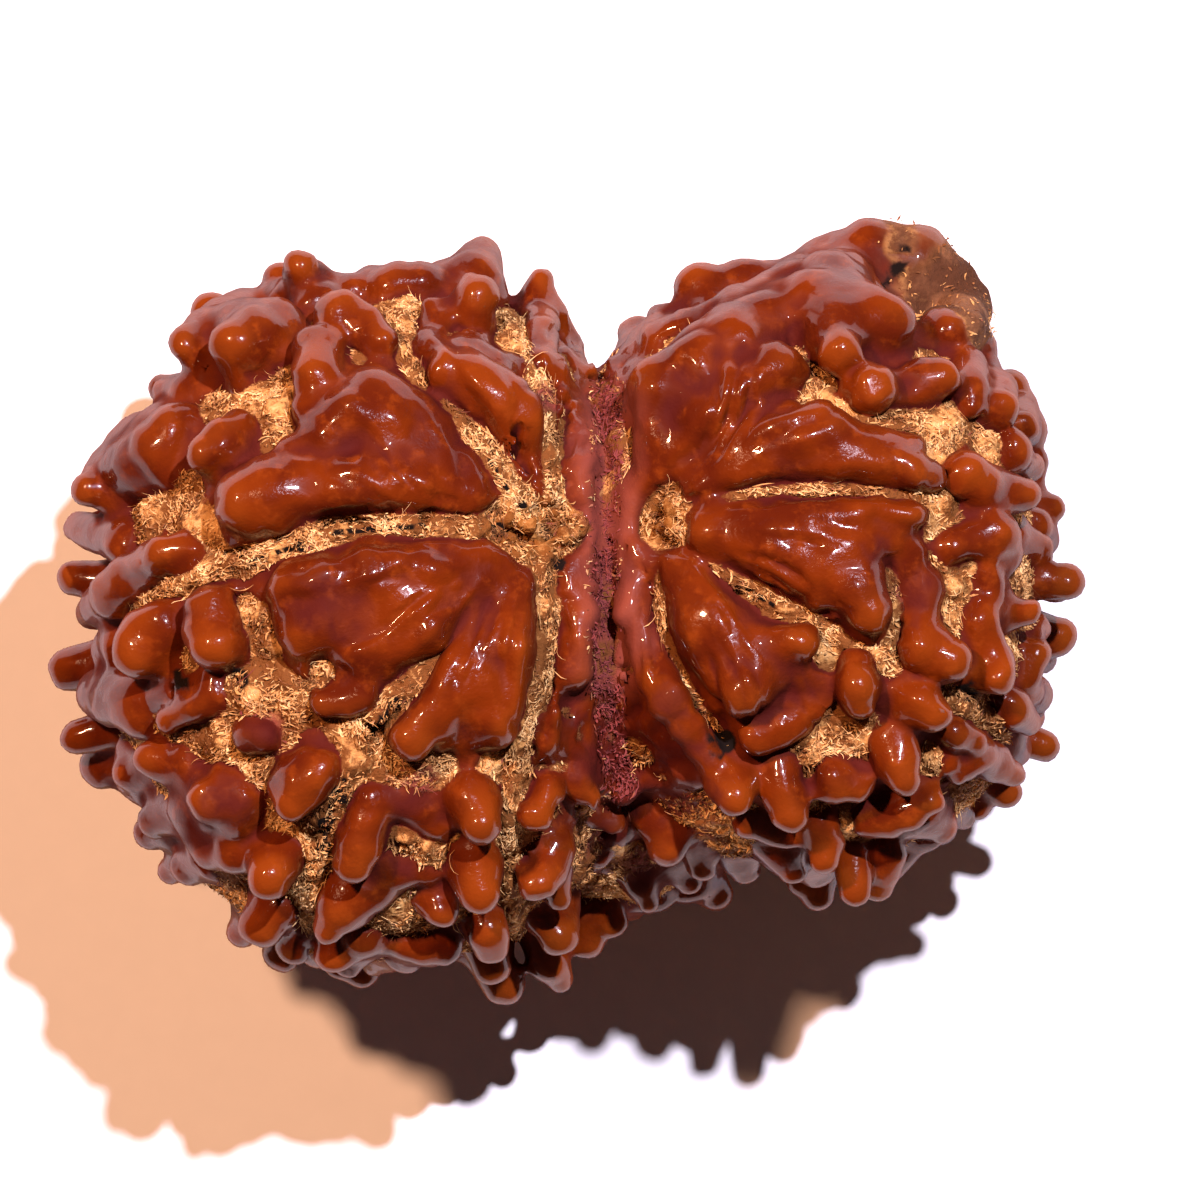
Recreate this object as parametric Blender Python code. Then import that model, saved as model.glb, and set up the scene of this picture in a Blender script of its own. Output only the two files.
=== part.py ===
"""Twin rudraksha bead with a trunk-like outgrowth: two fruit stones that fused side by side while growing.

Seen from above, the stem ends of both lobes face up and lean towards each other across the seam. Smooth knobs and
ridges run out from each stem pit between the grooves, stand up as fingers at the rim and cover the underside.
Lengths in the tables are millimetres. X runs across both lobes, Y up the seam, Z up from the resting surface.
"""

import math
import random

import bmesh
import bpy
import numpy as np
from mathutils import Matrix, Vector

MM = 0.001

# Each lobe's bare ground, under its knobs: centre, half lengths, and how square its outline is (2 is an ellipse).
LOBES = {
    "left": {"centre": (-6.4, -0.3, 11.3), "half": (9.9, 12.0, 10.4), "square": 2.15},
    "right": {"centre": (8.45, 1.3, 10.6), "half": (8.5, 10.0, 9.7), "square": 2.6},
    "neck": {"centre": (1.5, 1.2, 10.3), "half": (4.0, 6.5, 7.9), "square": 2.2},
    "heel": {"centre": (1.8, -5.0, 7.9), "half": (4.6, 5.3, 6.6), "square": 2.0},
}

# Ridges of the upper face, each a run of points: x, y, half width, and how high its crest stands over the ground.
LEFT_RIDGES = [
    # broad plates round the stem pit, which the narrower ridges crown
    [(-3.2, 1.9, 0.7, 0.7), (-4.6, 1.3, 1.2, 0.9), (-6.4, 0.6, 1.9, 1.0), (-8.4, 0.3, 1.9, 1.05), (-9.3, 0.2, 1.3, 1.1)],
    [(-5.2, -0.2, 0.9, 0.9), (-6.7, -1.2, 1.0, 1.0)],
    [(-3.6, 4.6, 0.9, 0.7), (-6.3, 4.9, 1.2, 1.05), (-9.0, 4.8, 1.3, 1.15), (-11.4, 4.2, 1.35, 1.6)],
    [(-5.0, 6.2, 1.2, 0.9), (-6.7, 7.1, 1.8, 1.15), (-7.8, 7.0, 1.4, 1.25)],
    [(-4.2, 8.9, 0.8, 1.1), (-3.0, 8.3, 1.1, 1.3), (-2.0, 7.2, 0.9, 1.3)],
    [(-2.1, 0.6, 0.7, 0.7), (-2.5, -1.0, 1.2, 1.1), (-3.2, -2.6, 1.5, 1.15), (-2.7, -3.6, 1.2, 1.15)],
    [(-3.6, -2.4, 1.1, 1.1), (-4.6, -3.6, 0.9, 1.15)],
    [(-11.6, 10.2, 1.5, 1.6), (-11.0, 9.6, 1.2, 1.2)],
    [(-3.4, 11.6, 1.3, 1.3), (-3.2, 12.6, 1.1, 1.6)],
    [(-14.6, 6.2, 1.4, 1.3), (-16.0, 5.3, 1.3, 1.5)],
    [(-12.0, -6.6, 1.6, 1.1), (-13.4, -7.2, 1.3, 1.2)],
    # above the groove that runs left from the stem pit
    [(-3.5, 4.45, 0.75, 0.7), (-6.4, 4.6, 0.95, 1.15), (-9.3, 4.5, 0.95, 1.3)],
    [(-9.9, 4.3, 0.9, 1.3), (-11.6, 4.05, 1.2, 1.9)],
    [(-4.4, 5.6, 0.5, 0.7), (-6.3, 5.75, 0.5, 0.9)],
    [(-5.0, 7.2, 0.8, 1.0), (-7.0, 7.9, 0.95, 1.5), (-8.3, 6.8, 0.85, 1.4)],
    [(-4.6, 6.3, 0.6, 0.7), (-6.6, 6.7, 1.1, 1.2)],
    [(-8.6, 6.4, 0.5, 1.3), (-9.9, 6.0, 0.55, 1.1)],
    [(-9.0, 9.5, 0.7, 1.5), (-9.3, 7.6, 0.75, 1.2)],
    [(-11.8, 6.5, 0.7, 1.2), (-13.1, 5.9, 0.7, 1.7)],
    [(-10.7, 10.4, 1.0, 1.6), (-12.0, 9.85, 1.0, 2.0)],
    [(-11.8, 10.9, 0.95, 1.2), (-13.9, 9.95, 0.5, 2.0)],
    [(-10.2, 11.2, 0.65, 0.9), (-10.5, 12.35, 0.65, 1.2)],
    [(-9.1, 11.5, 0.7, 1.2), (-9.65, 12.75, 0.6, 1.9)],
    [(-8.6, 11.4, 0.7, 0.9), (-7.0, 11.9, 0.7, 1.1), (-5.4, 12.1, 0.7, 1.3)],
    [(-6.7, 9.9, 0.55, 1.0), (-8.2, 11.05, 0.85, 1.6)],
    [(-14.3, 6.6, 0.85, 1.5), (-15.6, 5.6, 0.85, 1.6), (-17.5, 4.6, 0.5, 2.0)],
    [(-14.2, 5.3, 0.75, 1.0), (-17.0, 4.5, 0.5, 1.3)],
    [(-12.8, 8.1, 0.55, 0.6), (-14.65, 8.2, 0.4, 1.3)],
    [(-15.9, 2.6, 0.65, 1.0), (-17.95, 3.25, 0.42, 1.6)],
    [(-13.8, 2.2, 0.7, 1.2), (-14.6, 2.3, 0.7, 1.5)],
    [(-14.9, 1.9, 0.7, 1.2), (-17.4, 0.1, 0.6, 1.4)],
    # above the stem pit, up to the notch
    [(-3.8, 11.4, 0.95, 1.0), (-3.05, 13.3, 0.7, 2.2)],
    [(-3.6, 11.9, 0.9, 1.3), (-5.0, 12.3, 0.6, 1.2)],
    [(-3.35, 11.2, 0.75, 1.4), (-3.25, 11.6, 0.78, 1.9)],
    [(-1.65, 6.4, 0.5, 0.8), (-1.95, 7.6, 0.9, 1.4), (-4.4, 8.85, 0.5, 1.3)],
    [(-1.7, 8.9, 0.5, 0.6), (-3.8, 9.5, 0.5, 0.8)],
    [(-5.1, 9.8, 0.4, 0.8), (-5.0, 9.6, 0.4, 0.8)],
    [(-1.3, 10.9, 0.55, 0.9), (-0.85, 12.35, 0.3, 1.8)],
    [(-0.95, 11.3, 0.42, 1.0), (-0.95, 9.2, 0.45, 0.8)],
    [(-0.35, 10.9, 0.35, 0.8), (0.35, 8.9, 0.3, 0.5)],
    [(0.35, 7.4, 0.35, 0.5), (0.5, 4.4, 0.45, 0.8)],
    [(0.5, 1.9, 0.4, 0.6), (0.35, -1.9, 0.7, 1.2)],
    # the broad fan below the left groove, and the knobs out to the rim
    [(-3.3, 1.95, 0.5, 0.6), (-6.2, 1.7, 0.8, 1.1), (-9.7, 0.9, 1.1, 1.4)],
    [(-3.4, 1.4, 0.5, 0.65), (-6.6, 0.4, 0.8, 1.0), (-9.3, -0.6, 0.95, 1.2)],
    [(-3.0, 1.0, 0.45, 0.6), (-5.0, -0.5, 0.7, 1.1), (-7.3, -1.45, 0.7, 1.2)],
    [(-12.9, 0.2, 0.95, 1.6), (-12.7, -1.0, 1.0, 1.7)],
    [(-14.6, -0.4, 0.85, 1.5), (-15.6, -1.3, 1.1, 2.2)],
    [(-15.4, -3.3, 0.95, 1.2), (-17.1, -2.9, 0.95, 1.6)],
    [(-12.5, -3.0, 0.38, 0.8), (-14.4, -3.85, 0.33, 1.0)],
    [(-12.8, -2.4, 0.3, 0.5), (-14.6, -3.0, 0.3, 0.5)],
    [(-13.6, -5.5, 0.7, 1.0), (-15.1, -5.3, 0.65, 1.3)],
    [(-11.2, -4.2, 0.65, 0.9), (-10.9, -4.4, 0.65, 0.9)],
    [(-7.3, -2.95, 0.42, 0.8), (-8.7, -3.2, 0.5, 1.0)],
    [(-11.9, -6.5, 0.95, 1.3), (-12.9, -6.7, 1.0, 1.6)],
    [(-12.8, -8.4, 0.65, 1.2), (-11.2, -8.7, 0.6, 1.0)],
    [(-8.9, -5.6, 0.8, 1.3), (-9.9, -6.9, 0.6, 1.7)],
    [(-9.2, -5.6, 0.7, 1.2), (-10.3, -6.2, 0.5, 1.3)],
    [(-10.2, -8.5, 0.58, 1.0), (-10.75, -9.6, 0.7, 2.0)],
    [(-10.5, -10.6, 0.7, 1.0), (-11.05, -11.3, 0.93, 1.7)],
    # between the two lower grooves
    [(-2.6, 0.4, 0.45, 0.6), (-3.6, -1.9, 0.6, 1.1), (-5.55, -4.5, 0.5, 1.4)],
    [(-1.95, 0.5, 0.5, 0.6), (-2.1, -1.2, 0.8, 1.3), (-2.4, -3.8, 0.85, 1.4)],
    [(-3.1, -2.9, 0.7, 0.9), (-3.6, -3.9, 0.8, 0.8)],
    [(-3.35, -6.6, 0.78, 1.2), (-3.05, -7.5, 0.74, 1.8)],
    [(-3.5, -8.6, 0.7, 1.0), (-3.05, -10.1, 0.7, 1.9)],
    [(-3.0, -10.9, 0.55, 0.9), (-2.7, -12.1, 0.6, 1.6)],
    [(-2.9, -12.0, 0.6, 0.8), (-2.65, -12.95, 0.62, 1.3)],
    [(-7.0, -6.7, 0.55, 1.0), (-7.65, -9.1, 0.64, 1.9)],
    [(-7.9, -10.0, 0.75, 1.1), (-8.6, -11.3, 0.58, 1.7)],
    [(-6.3, -9.4, 0.45, 0.6), (-7.6, -10.7, 0.5, 1.0)],
    [(-7.4, -11.7, 0.55, 0.9), (-8.4, -12.4, 0.55, 1.2)],
    [(-4.7, -10.3, 0.6, 0.9), (-4.5, -10.8, 0.6, 1.1)],
    [(-5.8, -12.0, 0.5, 0.9), (-4.5, -12.2, 0.5, 1.1)],
    [(-5.8, -6.6, 0.65, 0.6), (-4.8, -7.7, 0.7, 0.6)],
    [(-6.2, -8.9, 0.5, 0.6), (-5.1, -9.2, 0.5, 0.6)],
    # between the lower groove and the seam
    [(-0.85, -3.95, 0.33, 0.6), (-0.75, -4.5, 0.36, 0.7)],
    [(-0.75, -6.4, 0.48, 0.9), (-1.1, -7.3, 0.5, 1.5)],
    [(-0.4, -8.5, 0.55, 1.0), (-1.0, -9.8, 0.66, 1.8)],
    [(-0.35, -10.8, 0.58, 1.0), (-0.3, -11.8, 0.66, 1.7)],
    [(0.5, -9.3, 0.45, 0.6), (2.7, -7.2, 0.45, 0.7)],
    [(0.9, -4.0, 0.6, 0.4), (2.0, -5.4, 0.6, 0.5)],
    [(3.3, -7.5, 0.55, 0.9), (3.7, -8.5, 0.62, 1.4)],
    [(1.2, -10.7, 0.5, 0.9), (1.75, -11.3, 0.45, 1.3)],
]
RIGHT_RIDGES = [
    # broad plates, as on the left lobe
    [(3.4, 6.2, 0.7, 0.8), (3.9, 8.0, 1.3, 1.5), (5.3, 9.3, 1.5, 1.6), (7.2, 10.3, 1.5, 1.5), (9.0, 11.3, 1.5, 1.7),
     (10.4, 12.4, 1.3, 2.0)],
    [(5.2, 7.2, 0.9, 1.1), (6.5, 8.2, 1.2, 1.4), (7.8, 8.8, 1.1, 1.3)],
    [(9.9, 10.4, 1.5, 1.7), (11.5, 10.6, 1.3, 1.7)],
    [(5.8, 5.4, 0.8, 0.7), (7.6, 6.1, 1.2, 1.2), (9.2, 6.2, 1.2, 1.2), (10.6, 5.8, 0.9, 1.1)],
    [(5.8, 3.0, 0.8, 0.7), (7.8, 2.8, 1.3, 1.1), (9.4, 2.2, 1.5, 1.2), (10.4, 1.4, 1.2, 1.2)],
    [(4.6, 1.2, 0.9, 0.8), (5.2, 0.0, 1.5, 1.2), (6.1, -1.2, 1.5, 1.3), (6.6, -2.6, 0.9, 1.6)],
    # above the stem pit, out to the trunk
    [(3.5, 10.2, 0.5, 0.7), (6.2, 11.2, 0.6, 1.2), (8.2, 12.1, 0.65, 1.5), (10.1, 13.3, 0.85, 1.9)],
    [(3.45, 5.8, 0.42, 0.7), (3.6, 8.1, 0.95, 1.6), (5.4, 9.5, 0.8, 1.6), (7.2, 10.5, 0.8, 1.5)],
    [(4.5, 6.2, 0.55, 0.8), (4.7, 8.0, 0.7, 1.2)],
    [(4.95, 6.8, 0.45, 0.8), (6.3, 8.0, 0.75, 1.4), (7.7, 8.9, 0.85, 1.4)],
    [(7.3, 10.6, 0.8, 1.4), (9.1, 11.4, 0.95, 1.7), (10.1, 11.6, 0.9, 1.6)],
    [(9.6, 11.0, 0.85, 1.5), (9.95, 9.5, 0.75, 1.9)],
    [(10.1, 10.9, 0.85, 1.4), (12.0, 10.7, 0.85, 1.7)],
    [(13.0, 12.0, 0.4, 0.9), (13.9, 11.2, 0.45, 1.1)],
    [(13.8, 10.35, 0.72, 1.3), (14.0, 10.45, 0.72, 1.5)],
    [(14.6, 10.2, 0.6, 1.0), (15.3, 9.8, 0.55, 1.4)],
    [(11.0, 8.2, 0.9, 1.4), (11.2, 8.2, 0.9, 1.5)],
    [(11.9, 8.1, 0.5, 0.8), (12.4, 7.9, 0.45, 0.7)],
    [(13.2, 8.5, 0.82, 1.2), (13.7, 8.65, 0.85, 1.5)],
    [(14.7, 9.0, 0.5, 1.1), (14.8, 7.6, 0.48, 1.1)],
    [(15.5, 8.8, 0.5, 1.1), (15.9, 7.6, 0.55, 1.2)],
    [(16.4, 8.3, 0.45, 1.0), (16.9, 7.0, 0.45, 1.1)],
    # the fan above the groove that runs right
    [(5.4, 4.95, 0.4, 0.6), (7.5, 5.4, 0.5, 1.0), (9.8, 5.5, 0.55, 1.1)],
    [(5.9, 5.8, 0.55, 0.7), (7.7, 6.7, 0.8, 1.4), (9.3, 6.8, 0.75, 1.3)],
    [(10.9, 5.5, 0.58, 1.1), (12.0, 5.4, 0.65, 1.3), (13.2, 5.0, 0.46, 1.1)],
    [(11.2, 6.3, 0.4, 0.7), (12.5, 6.2, 0.4, 0.7)],
    [(14.6, 5.0, 0.65, 1.3), (15.6, 4.5, 0.58, 1.1), (16.8, 4.4, 0.48, 1.4)],
    [(16.3, 6.0, 0.48, 1.0), (17.0, 5.4, 0.45, 1.1)],
    # the fan below it
    [(5.4, 3.4, 0.42, 0.6), (8.0, 3.75, 0.5, 1.0), (12.5, 3.6, 0.45, 1.1)],
    [(5.6, 2.8, 0.5, 0.7), (8.5, 2.4, 0.7, 1.2), (10.4, 2.1, 0.8, 1.2)],
    [(5.8, 2.3, 0.4, 0.6), (8.3, 1.4, 0.55, 1.1), (10.0, 0.95, 0.62, 1.2)],
    [(10.6, 1.4, 0.62, 1.2), (11.05, 0.2, 0.7, 1.7)],
    [(11.0, 2.8, 0.42, 0.8), (12.6, 2.2, 0.4, 0.7)],
    [(14.0, 2.5, 0.42, 0.8), (15.6, 2.9, 0.72, 1.4), (16.1, 2.2, 0.6, 1.2)],
    [(15.3, 1.4, 0.7, 0.9), (15.1, -0.2, 0.72, 1.0)],
    [(13.0, 0.9, 0.7, 0.7), (13.0, -0.1, 0.7, 0.8)],
    [(12.9, -1.1, 0.58, 1.2), (14.0, -1.6, 0.76, 1.7)],
    [(15.4, -1.2, 0.65, 1.1), (15.8, -2.3, 0.63, 1.6)],
    [(17.0, 1.2, 0.45, 0.6), (18.35, 1.2, 0.53, 1.6)],
    [(17.2, 3.3, 0.5, 0.8), (17.7, 2.8, 0.5, 1.0)],
    [(17.2, -0.5, 0.4, 0.8), (17.2, -1.4, 0.4, 0.9)],
    [(16.9, -2.2, 0.35, 0.9), (17.2, -3.4, 0.35, 0.9)],
    # below the lower right groove
    [(16.3, -3.3, 0.48, 1.1), (17.0, -3.95, 0.42, 1.5)],
    [(12.4, -2.7, 0.62, 1.1), (13.3, -3.5, 0.73, 1.7)],
    [(10.6, -2.0, 0.66, 1.2), (10.75, -3.3, 0.45, 1.4)],
    [(11.9, -4.6, 0.6, 1.1), (12.4, -6.0, 0.58, 1.8)],
    [(14.2, -4.3, 0.38, 0.9), (15.0, -4.6, 0.42, 1.1)],
    [(13.8, -5.3, 0.4, 0.8), (14.3, -5.8, 0.42, 1.0)],
    [(15.1, -5.1, 0.45, 1.0), (16.4, -5.8, 0.45, 1.4)],
    [(11.2, -7.4, 0.5, 0.9), (12.6, -7.2, 0.5, 1.3), (13.4, -6.75, 0.45, 1.5)],
    [(9.9, -6.0, 0.66, 1.2), (10.6, -6.2, 0.64, 1.3)],
    [(7.95, -5.7, 0.58, 1.1), (8.2, -7.2, 0.68, 1.8)],
    [(4.8, 1.2, 0.75, 0.8), (5.3, -0.3, 1.15, 1.3), (6.4, -1.3, 1.05, 1.4), (6.55, -2.7, 0.74, 1.8)],
    [(7.5, -1.2, 0.7, 1.2), (8.6, -0.95, 0.74, 1.4)],
    [(7.3, -1.9, 0.6, 0.9), (8.4, -2.1, 0.55, 0.9)],
    [(8.4, -3.7, 0.62, 0.9), (7.1, -4.4, 0.45, 1.3)],
    [(9.4, -7.6, 0.48, 0.9), (9.5, -8.95, 0.48, 1.8)],
    [(10.5, -8.7, 0.42, 0.9), (10.65, -10.1, 0.44, 1.9)],
    [(11.9, -8.7, 0.35, 1.0), (11.4, -9.95, 0.37, 1.8)],
    [(6.8, -7.5, 0.42, 0.7), (8.2, -8.1, 0.42, 0.8)],
    # the long ridge beside the seam, and the ring round the stem pit
    [(2.65, 2.4, 0.38, 0.5), (2.65, 0.0, 0.48, 0.9), (3.3, -2.2, 0.5, 1.2), (4.4, -4.0, 0.5, 1.3),
     (5.6, -5.5, 0.55, 1.4), (6.15, -6.6, 0.6, 1.8)],
    [(2.5, 3.9, 0.42, 0.5), (3.15, 5.2, 0.48, 0.6)],
    [(4.2, 5.4, 0.5, 0.6), (5.2, 4.4, 0.45, 0.6), (5.25, 2.9, 0.45, 0.6)],
    [(4.6, 1.9, 0.38, 0.4), (3.4, 1.9, 0.38, 0.4)],
]
# The trunk-like outgrowth at the far corner of the right lobe, as the ridges are given.
TRUNK = [
    [(10.3, 12.8, 1.2, 2.0), (11.4, 13.2, 1.25, 2.4), (12.8, 12.9, 1.2, 2.3), (13.9, 12.1, 1.15, 2.1),
     (14.6, 11.3, 1.0, 1.8), (14.7, 10.5, 0.8, 1.5)],
    [(11.4, 12.3, 1.1, 1.5), (12.9, 11.9, 1.2, 1.7), (13.8, 11.1, 1.0, 1.5)],
]
# Fingers that show past the rim from under it: the tip's x, y, z and half width.
RIM_FINGERS = [
    (-13.1, 11.1, 9.5, 0.7), (-18.1, 1.35, 10.5, 0.48), (-18.4, -2.0, 9.5, 0.62), (-18.0, -4.5, 10.0, 0.45),
    (-17.1, -5.6, 8.5, 0.8), (-15.6, -6.2, 8.5, 0.75), (-14.6, -7.6, 8.5, 0.7), (-13.4, -9.2, 7.5, 0.62),
    (-10.5, -12.5, 8.0, 0.62), (-2.25, -13.7, 8.5, 0.65), (-8.3, -12.9, 8.3, 0.42), (-7.55, -13.2, 8.0, 0.5),
    (-0.55, -12.9, 8.8, 0.5), (-0.2, -13.5, 8.0, 0.42), (3.3, -10.3, 7.0, 0.6), (4.6, -9.9, 6.5, 0.65),
    (5.6, -10.4, 5.5, 0.5), (0.8, -12.1, 8.0, 0.5), (4.95, 12.05, 11.5, 0.88), (6.4, 12.2, 11.0, 0.85),
    (7.5, 12.1, 11.0, 0.85), (17.2, 6.7, 10.5, 0.45), (18.0, 3.95, 10.5, 0.33), (17.4, 5.6, 10.0, 0.4),
    (18.2, -0.8, 9.0, 0.6), (17.7, -4.9, 10.0, 0.38), (16.3, -6.5, 9.5, 0.45), (15.2, -7.1, 9.0, 0.45),
    (9.35, -10.4, 8.5, 0.47), (8.75, -9.8, 9.0, 0.38), (12.5, -8.8, 9.5, 0.33), (12.15, -9.3, 9.0, 0.3),
]

# Grooves of the upper face: half width, depth, and the points (x, y) that each runs through.
CARVED = [
    (0.5, 1.15, [(-2.6, 3.1), (-5.0, 3.25), (-7.0, 3.2), (-9.0, 2.8), (-11.0, 2.2), (-14.0, 1.2), (-15.5, 0.6)]),
    (0.5, 1.0, [(-1.9, 4.2), (-2.9, 6.0), (-3.6, 6.6), (-5.2, 8.3), (-5.8, 9.6), (-6.0, 10.9)]),
    (0.4, 1.0, [(-0.5, 4.3), (-0.5, 6.0), (-0.6, 8.0), (-1.5, 9.5), (-2.1, 11.0)]),
    (0.5, 1.15, [(-3.1, 0.2), (-4.0, -0.8), (-6.0, -2.8), (-7.3, -4.6), (-8.7, -7.3), (-9.3, -10.0), (-9.4, -12.0)]),
    (0.42, 1.1, [(-0.8, 1.9), (-0.75, -0.6), (-1.0, -2.5), (-1.7, -4.8), (-2.0, -7.5), (-1.9, -10.5), (-1.7, -12.6)]),
    (0.5, 0.7, [(1.6, 8.2), (1.55, 4.5), (1.4, 0.0), (1.5, -3.0), (2.0, -6.2)]),
    (0.38, 1.0, [(5.0, 4.0), (7.5, 4.5), (10.3, 4.65), (13.8, 4.2)]),
    (0.4, 0.9, [(4.4, 4.9), (5.8, 6.2), (8.1, 7.8), (8.6, 9.7)]),
    (0.38, 0.9, [(8.1, 7.8), (9.6, 8.0), (11.3, 6.9), (13.6, 6.9)]),
    (0.42, 1.0, [(4.9, 2.2), (6.6, 1.0), (8.6, -0.1), (10.9, -1.4), (13.4, -2.8), (15.8, -3.9)]),
    (0.3, 0.9, [(3.4, 1.6), (3.7, -0.6), (4.5, -2.7), (5.9, -4.6)]),
    (0.33, 0.9, [(11.4, 1.7), (12.0, 0.2), (11.8, -1.2)]),
]
# Pockets between knobs, where the fibrous bed lies bare: x, y, half width.
POCKETS = [
    (-15.2, 3.7, 0.6), (-13.5, 3.2, 0.7), (-11.3, 0.0, 0.7), (-10.6, -1.0, 0.75), (-11.5, -3.0, 0.9),
    (-8.7, -1.9, 0.5), (-11.4, -5.9, 0.6), (-12.6, -4.6, 0.7), (-10.8, 7.5, 0.8), (-9.9, 8.3, 0.5), (-7.5, 9.5, 0.6),
    (-5.9, 11.5, 0.5), (-4.0, 10.3, 0.5), (-2.2, 10.0, 0.5), (-5.7, -8.0, 0.6), (-5.0, -8.5, 0.5),
    (-6.0, -11.0, 0.6), (-2.7, -5.3, 0.7), (0.8, -7.0, 0.4), (1.5, -7.1, 0.5), (0.9, -9.8, 0.5), (2.0, -8.5, 0.5),
    (14.0, 6.9, 0.7), (15.7, 6.2, 0.6), (14.3, 1.0, 0.45), (14.9, 1.8, 0.45), (16.7, 0.8, 0.5), (9.5, -1.4, 0.5),
    (8.9, -5.3, 0.5), (10.2, -7.7, 0.5), (14.9, -3.4, 0.5), (13.5, -5.5, 0.5), (8.9, 8.6, 0.7), (10.3, 7.4, 0.6),
]
POCKET_DEPTH = 0.8
SLOPE_SPREAD = 1.3
# The stem pits: centre (x, y), half lengths, depth.
PITS = [((-1.3, 3.1), (1.9, 1.1), 1.5), ((3.85, 3.4), (0.9, 1.3), 1.2)]
UPPER_FACE_ABOVE = 7.0

# The underside: rows of knobs round each lobe's stem-to-tip axis, between its grooves.
STEM = {
    "left": (0.49, 0.25, 0.835), "right": (-0.51, 0.22, 0.83), "heel": (0.0, 0.35, 0.94), "neck": (0.0, 0.1, 1.0)
}
GROOVES = {"left": 9, "right": 8, "heel": 5, "neck": 6}
KNOB_STEP = 2.2
KNOB_GAP = 1.55
KNOB_HALF = (0.65, 1.0)
KNOB_CREST = (1.2, 1.75)
KNOB_LEAN = (0.2, 0.9)
KNOB_BACK = 0.4
SCATTER = 0.17
GROOVE_SHARE = 0.12
UNDERSIDE_BELOW = 0.68
SEED = 7

# Blunt knobs that the bead rests on: x, y, half width. The resting surface cuts them flat.
FEET = [(-7.6, -3.6, 1.0), (-6.9, 3.3, 1.0), (8.4, 3.4, 1.0), (7.9, -1.6, 1.0)]
FOOT_HEIGHT = 0.35
FOOT_LENGTH = 2.5

# How ridges and knobs are shaped: a rounded crest on a wider foot. Shares are of the half width given.
RELIEF = 1.22
FULLER = 0.22
CREST = 0.85
FOOT = 1.45
FOOT_RISE = 0.38
UNEVEN = 0.12
FINGER_ROOT = 1.85
KNOB_TIP = 0.78
KNOB_ROOT = 1.75
RIDGE_STEP = 1.1
BALL_STEP = 0.5
VOXEL = 0.25
SMOOTHING = 2
TRIANGLES = 10600
SINK = 0.9

# How finely places on the ground are found, in millimetres.
PROBE = 0.02
COLUMN_TOP = 26.0
COLUMN_FOOT = 2.0
COLUMN_STEP = 0.04
BURIED = 0.05


def ground(points):
    """How far points (N by 3, millimetres) are outside the bare ground of all lobes, roughly."""
    nearest = np.full(len(points), 1e9)
    for lobe in LOBES.values():
        power, half = lobe["square"], np.array(lobe["half"])
        share = np.abs(points - np.array(lobe["centre"])) / half
        size = np.maximum((share**power).sum(1) ** (1 / power), 1e-6)
        slope = size ** (1 - power) * np.linalg.norm(share ** (power - 1) / half, axis=1)
        nearest = np.minimum(nearest, (size - 1) / np.maximum(slope, 1e-6))
    return nearest


def outward(point):
    """The ground's outward direction at a point."""
    probes = np.array([point + axis * PROBE * side for axis in np.eye(3) for side in (1, -1)])
    far = ground(probes)
    slope = far[0::2] - far[1::2]
    return slope / np.linalg.norm(slope)


def settle(x, y, height):
    """The point over x, y that is height above the upper face, or the nearest to it past the rim."""
    column = np.arange(COLUMN_TOP, COLUMN_FOOT, -COLUMN_STEP)
    points = np.stack([np.full_like(column, x), np.full_like(column, y), column], 1)
    far = ground(points)
    inside = np.nonzero(far <= height)[0]
    return points[inside[0] if len(inside) else far.argmin()]


def crest_and_foot(x, y, half, crest):
    """Two balls (centre, half width) of a ridge at x, y: its crest, and under that the wider foot."""
    height = RELIEF * crest
    crest_half, foot_half = CREST * half + FULLER, FOOT * half + FULLER
    top = settle(x, y, height - crest_half)
    down = ground(top[None])[0] - FOOT_RISE * height + foot_half
    return (top, crest_half), (top - outward(top) * down, foot_half)


def ridge_runs():
    """Every ridge of the upper face, as a run of crests and feet that follows the ground."""
    rng = random.Random(SEED)
    runs = []
    for ridge in LEFT_RIDGES + RIGHT_RIDGES + TRUNK:
        run = []
        for start, end in zip(np.array(ridge), np.array(ridge)[1:]):
            parts = max(1, math.ceil(np.linalg.norm(end[:2] - start[:2]) / RIDGE_STEP))
            for share in np.arange(parts) / parts:
                run.append(start + (end - start) * share)
        run.append(ridge[-1])
        balls = []
        for x, y, half, crest in run:
            half *= 1 + rng.uniform(-UNEVEN, UNEVEN)
            crest *= 1 + rng.uniform(-UNEVEN, UNEVEN)
            balls.append(crest_and_foot(x, y, half, crest))
        runs.append(balls)
    return runs


def finger_runs():
    """The knobs that stand out past the rim, each from its tip back into the ground."""
    runs = []
    for x, y, z, half in RIM_FINGERS:
        tip = np.array([x, y, z])
        root = tip - outward(tip) * (ground(tip[None])[0] + SINK * half)
        runs.append([((tip, CREST * half + FULLER), (root, FINGER_ROOT * half + FULLER))])
    return runs


def feet_runs():
    """The blunt knobs under each lobe."""
    runs = []
    for x, y, half in FEET:
        tip = np.array([x, y, FOOT_HEIGHT])
        runs.append([((tip, half), (tip + np.array([0, 0, FOOT_LENGTH]), half))])
    return runs


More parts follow.
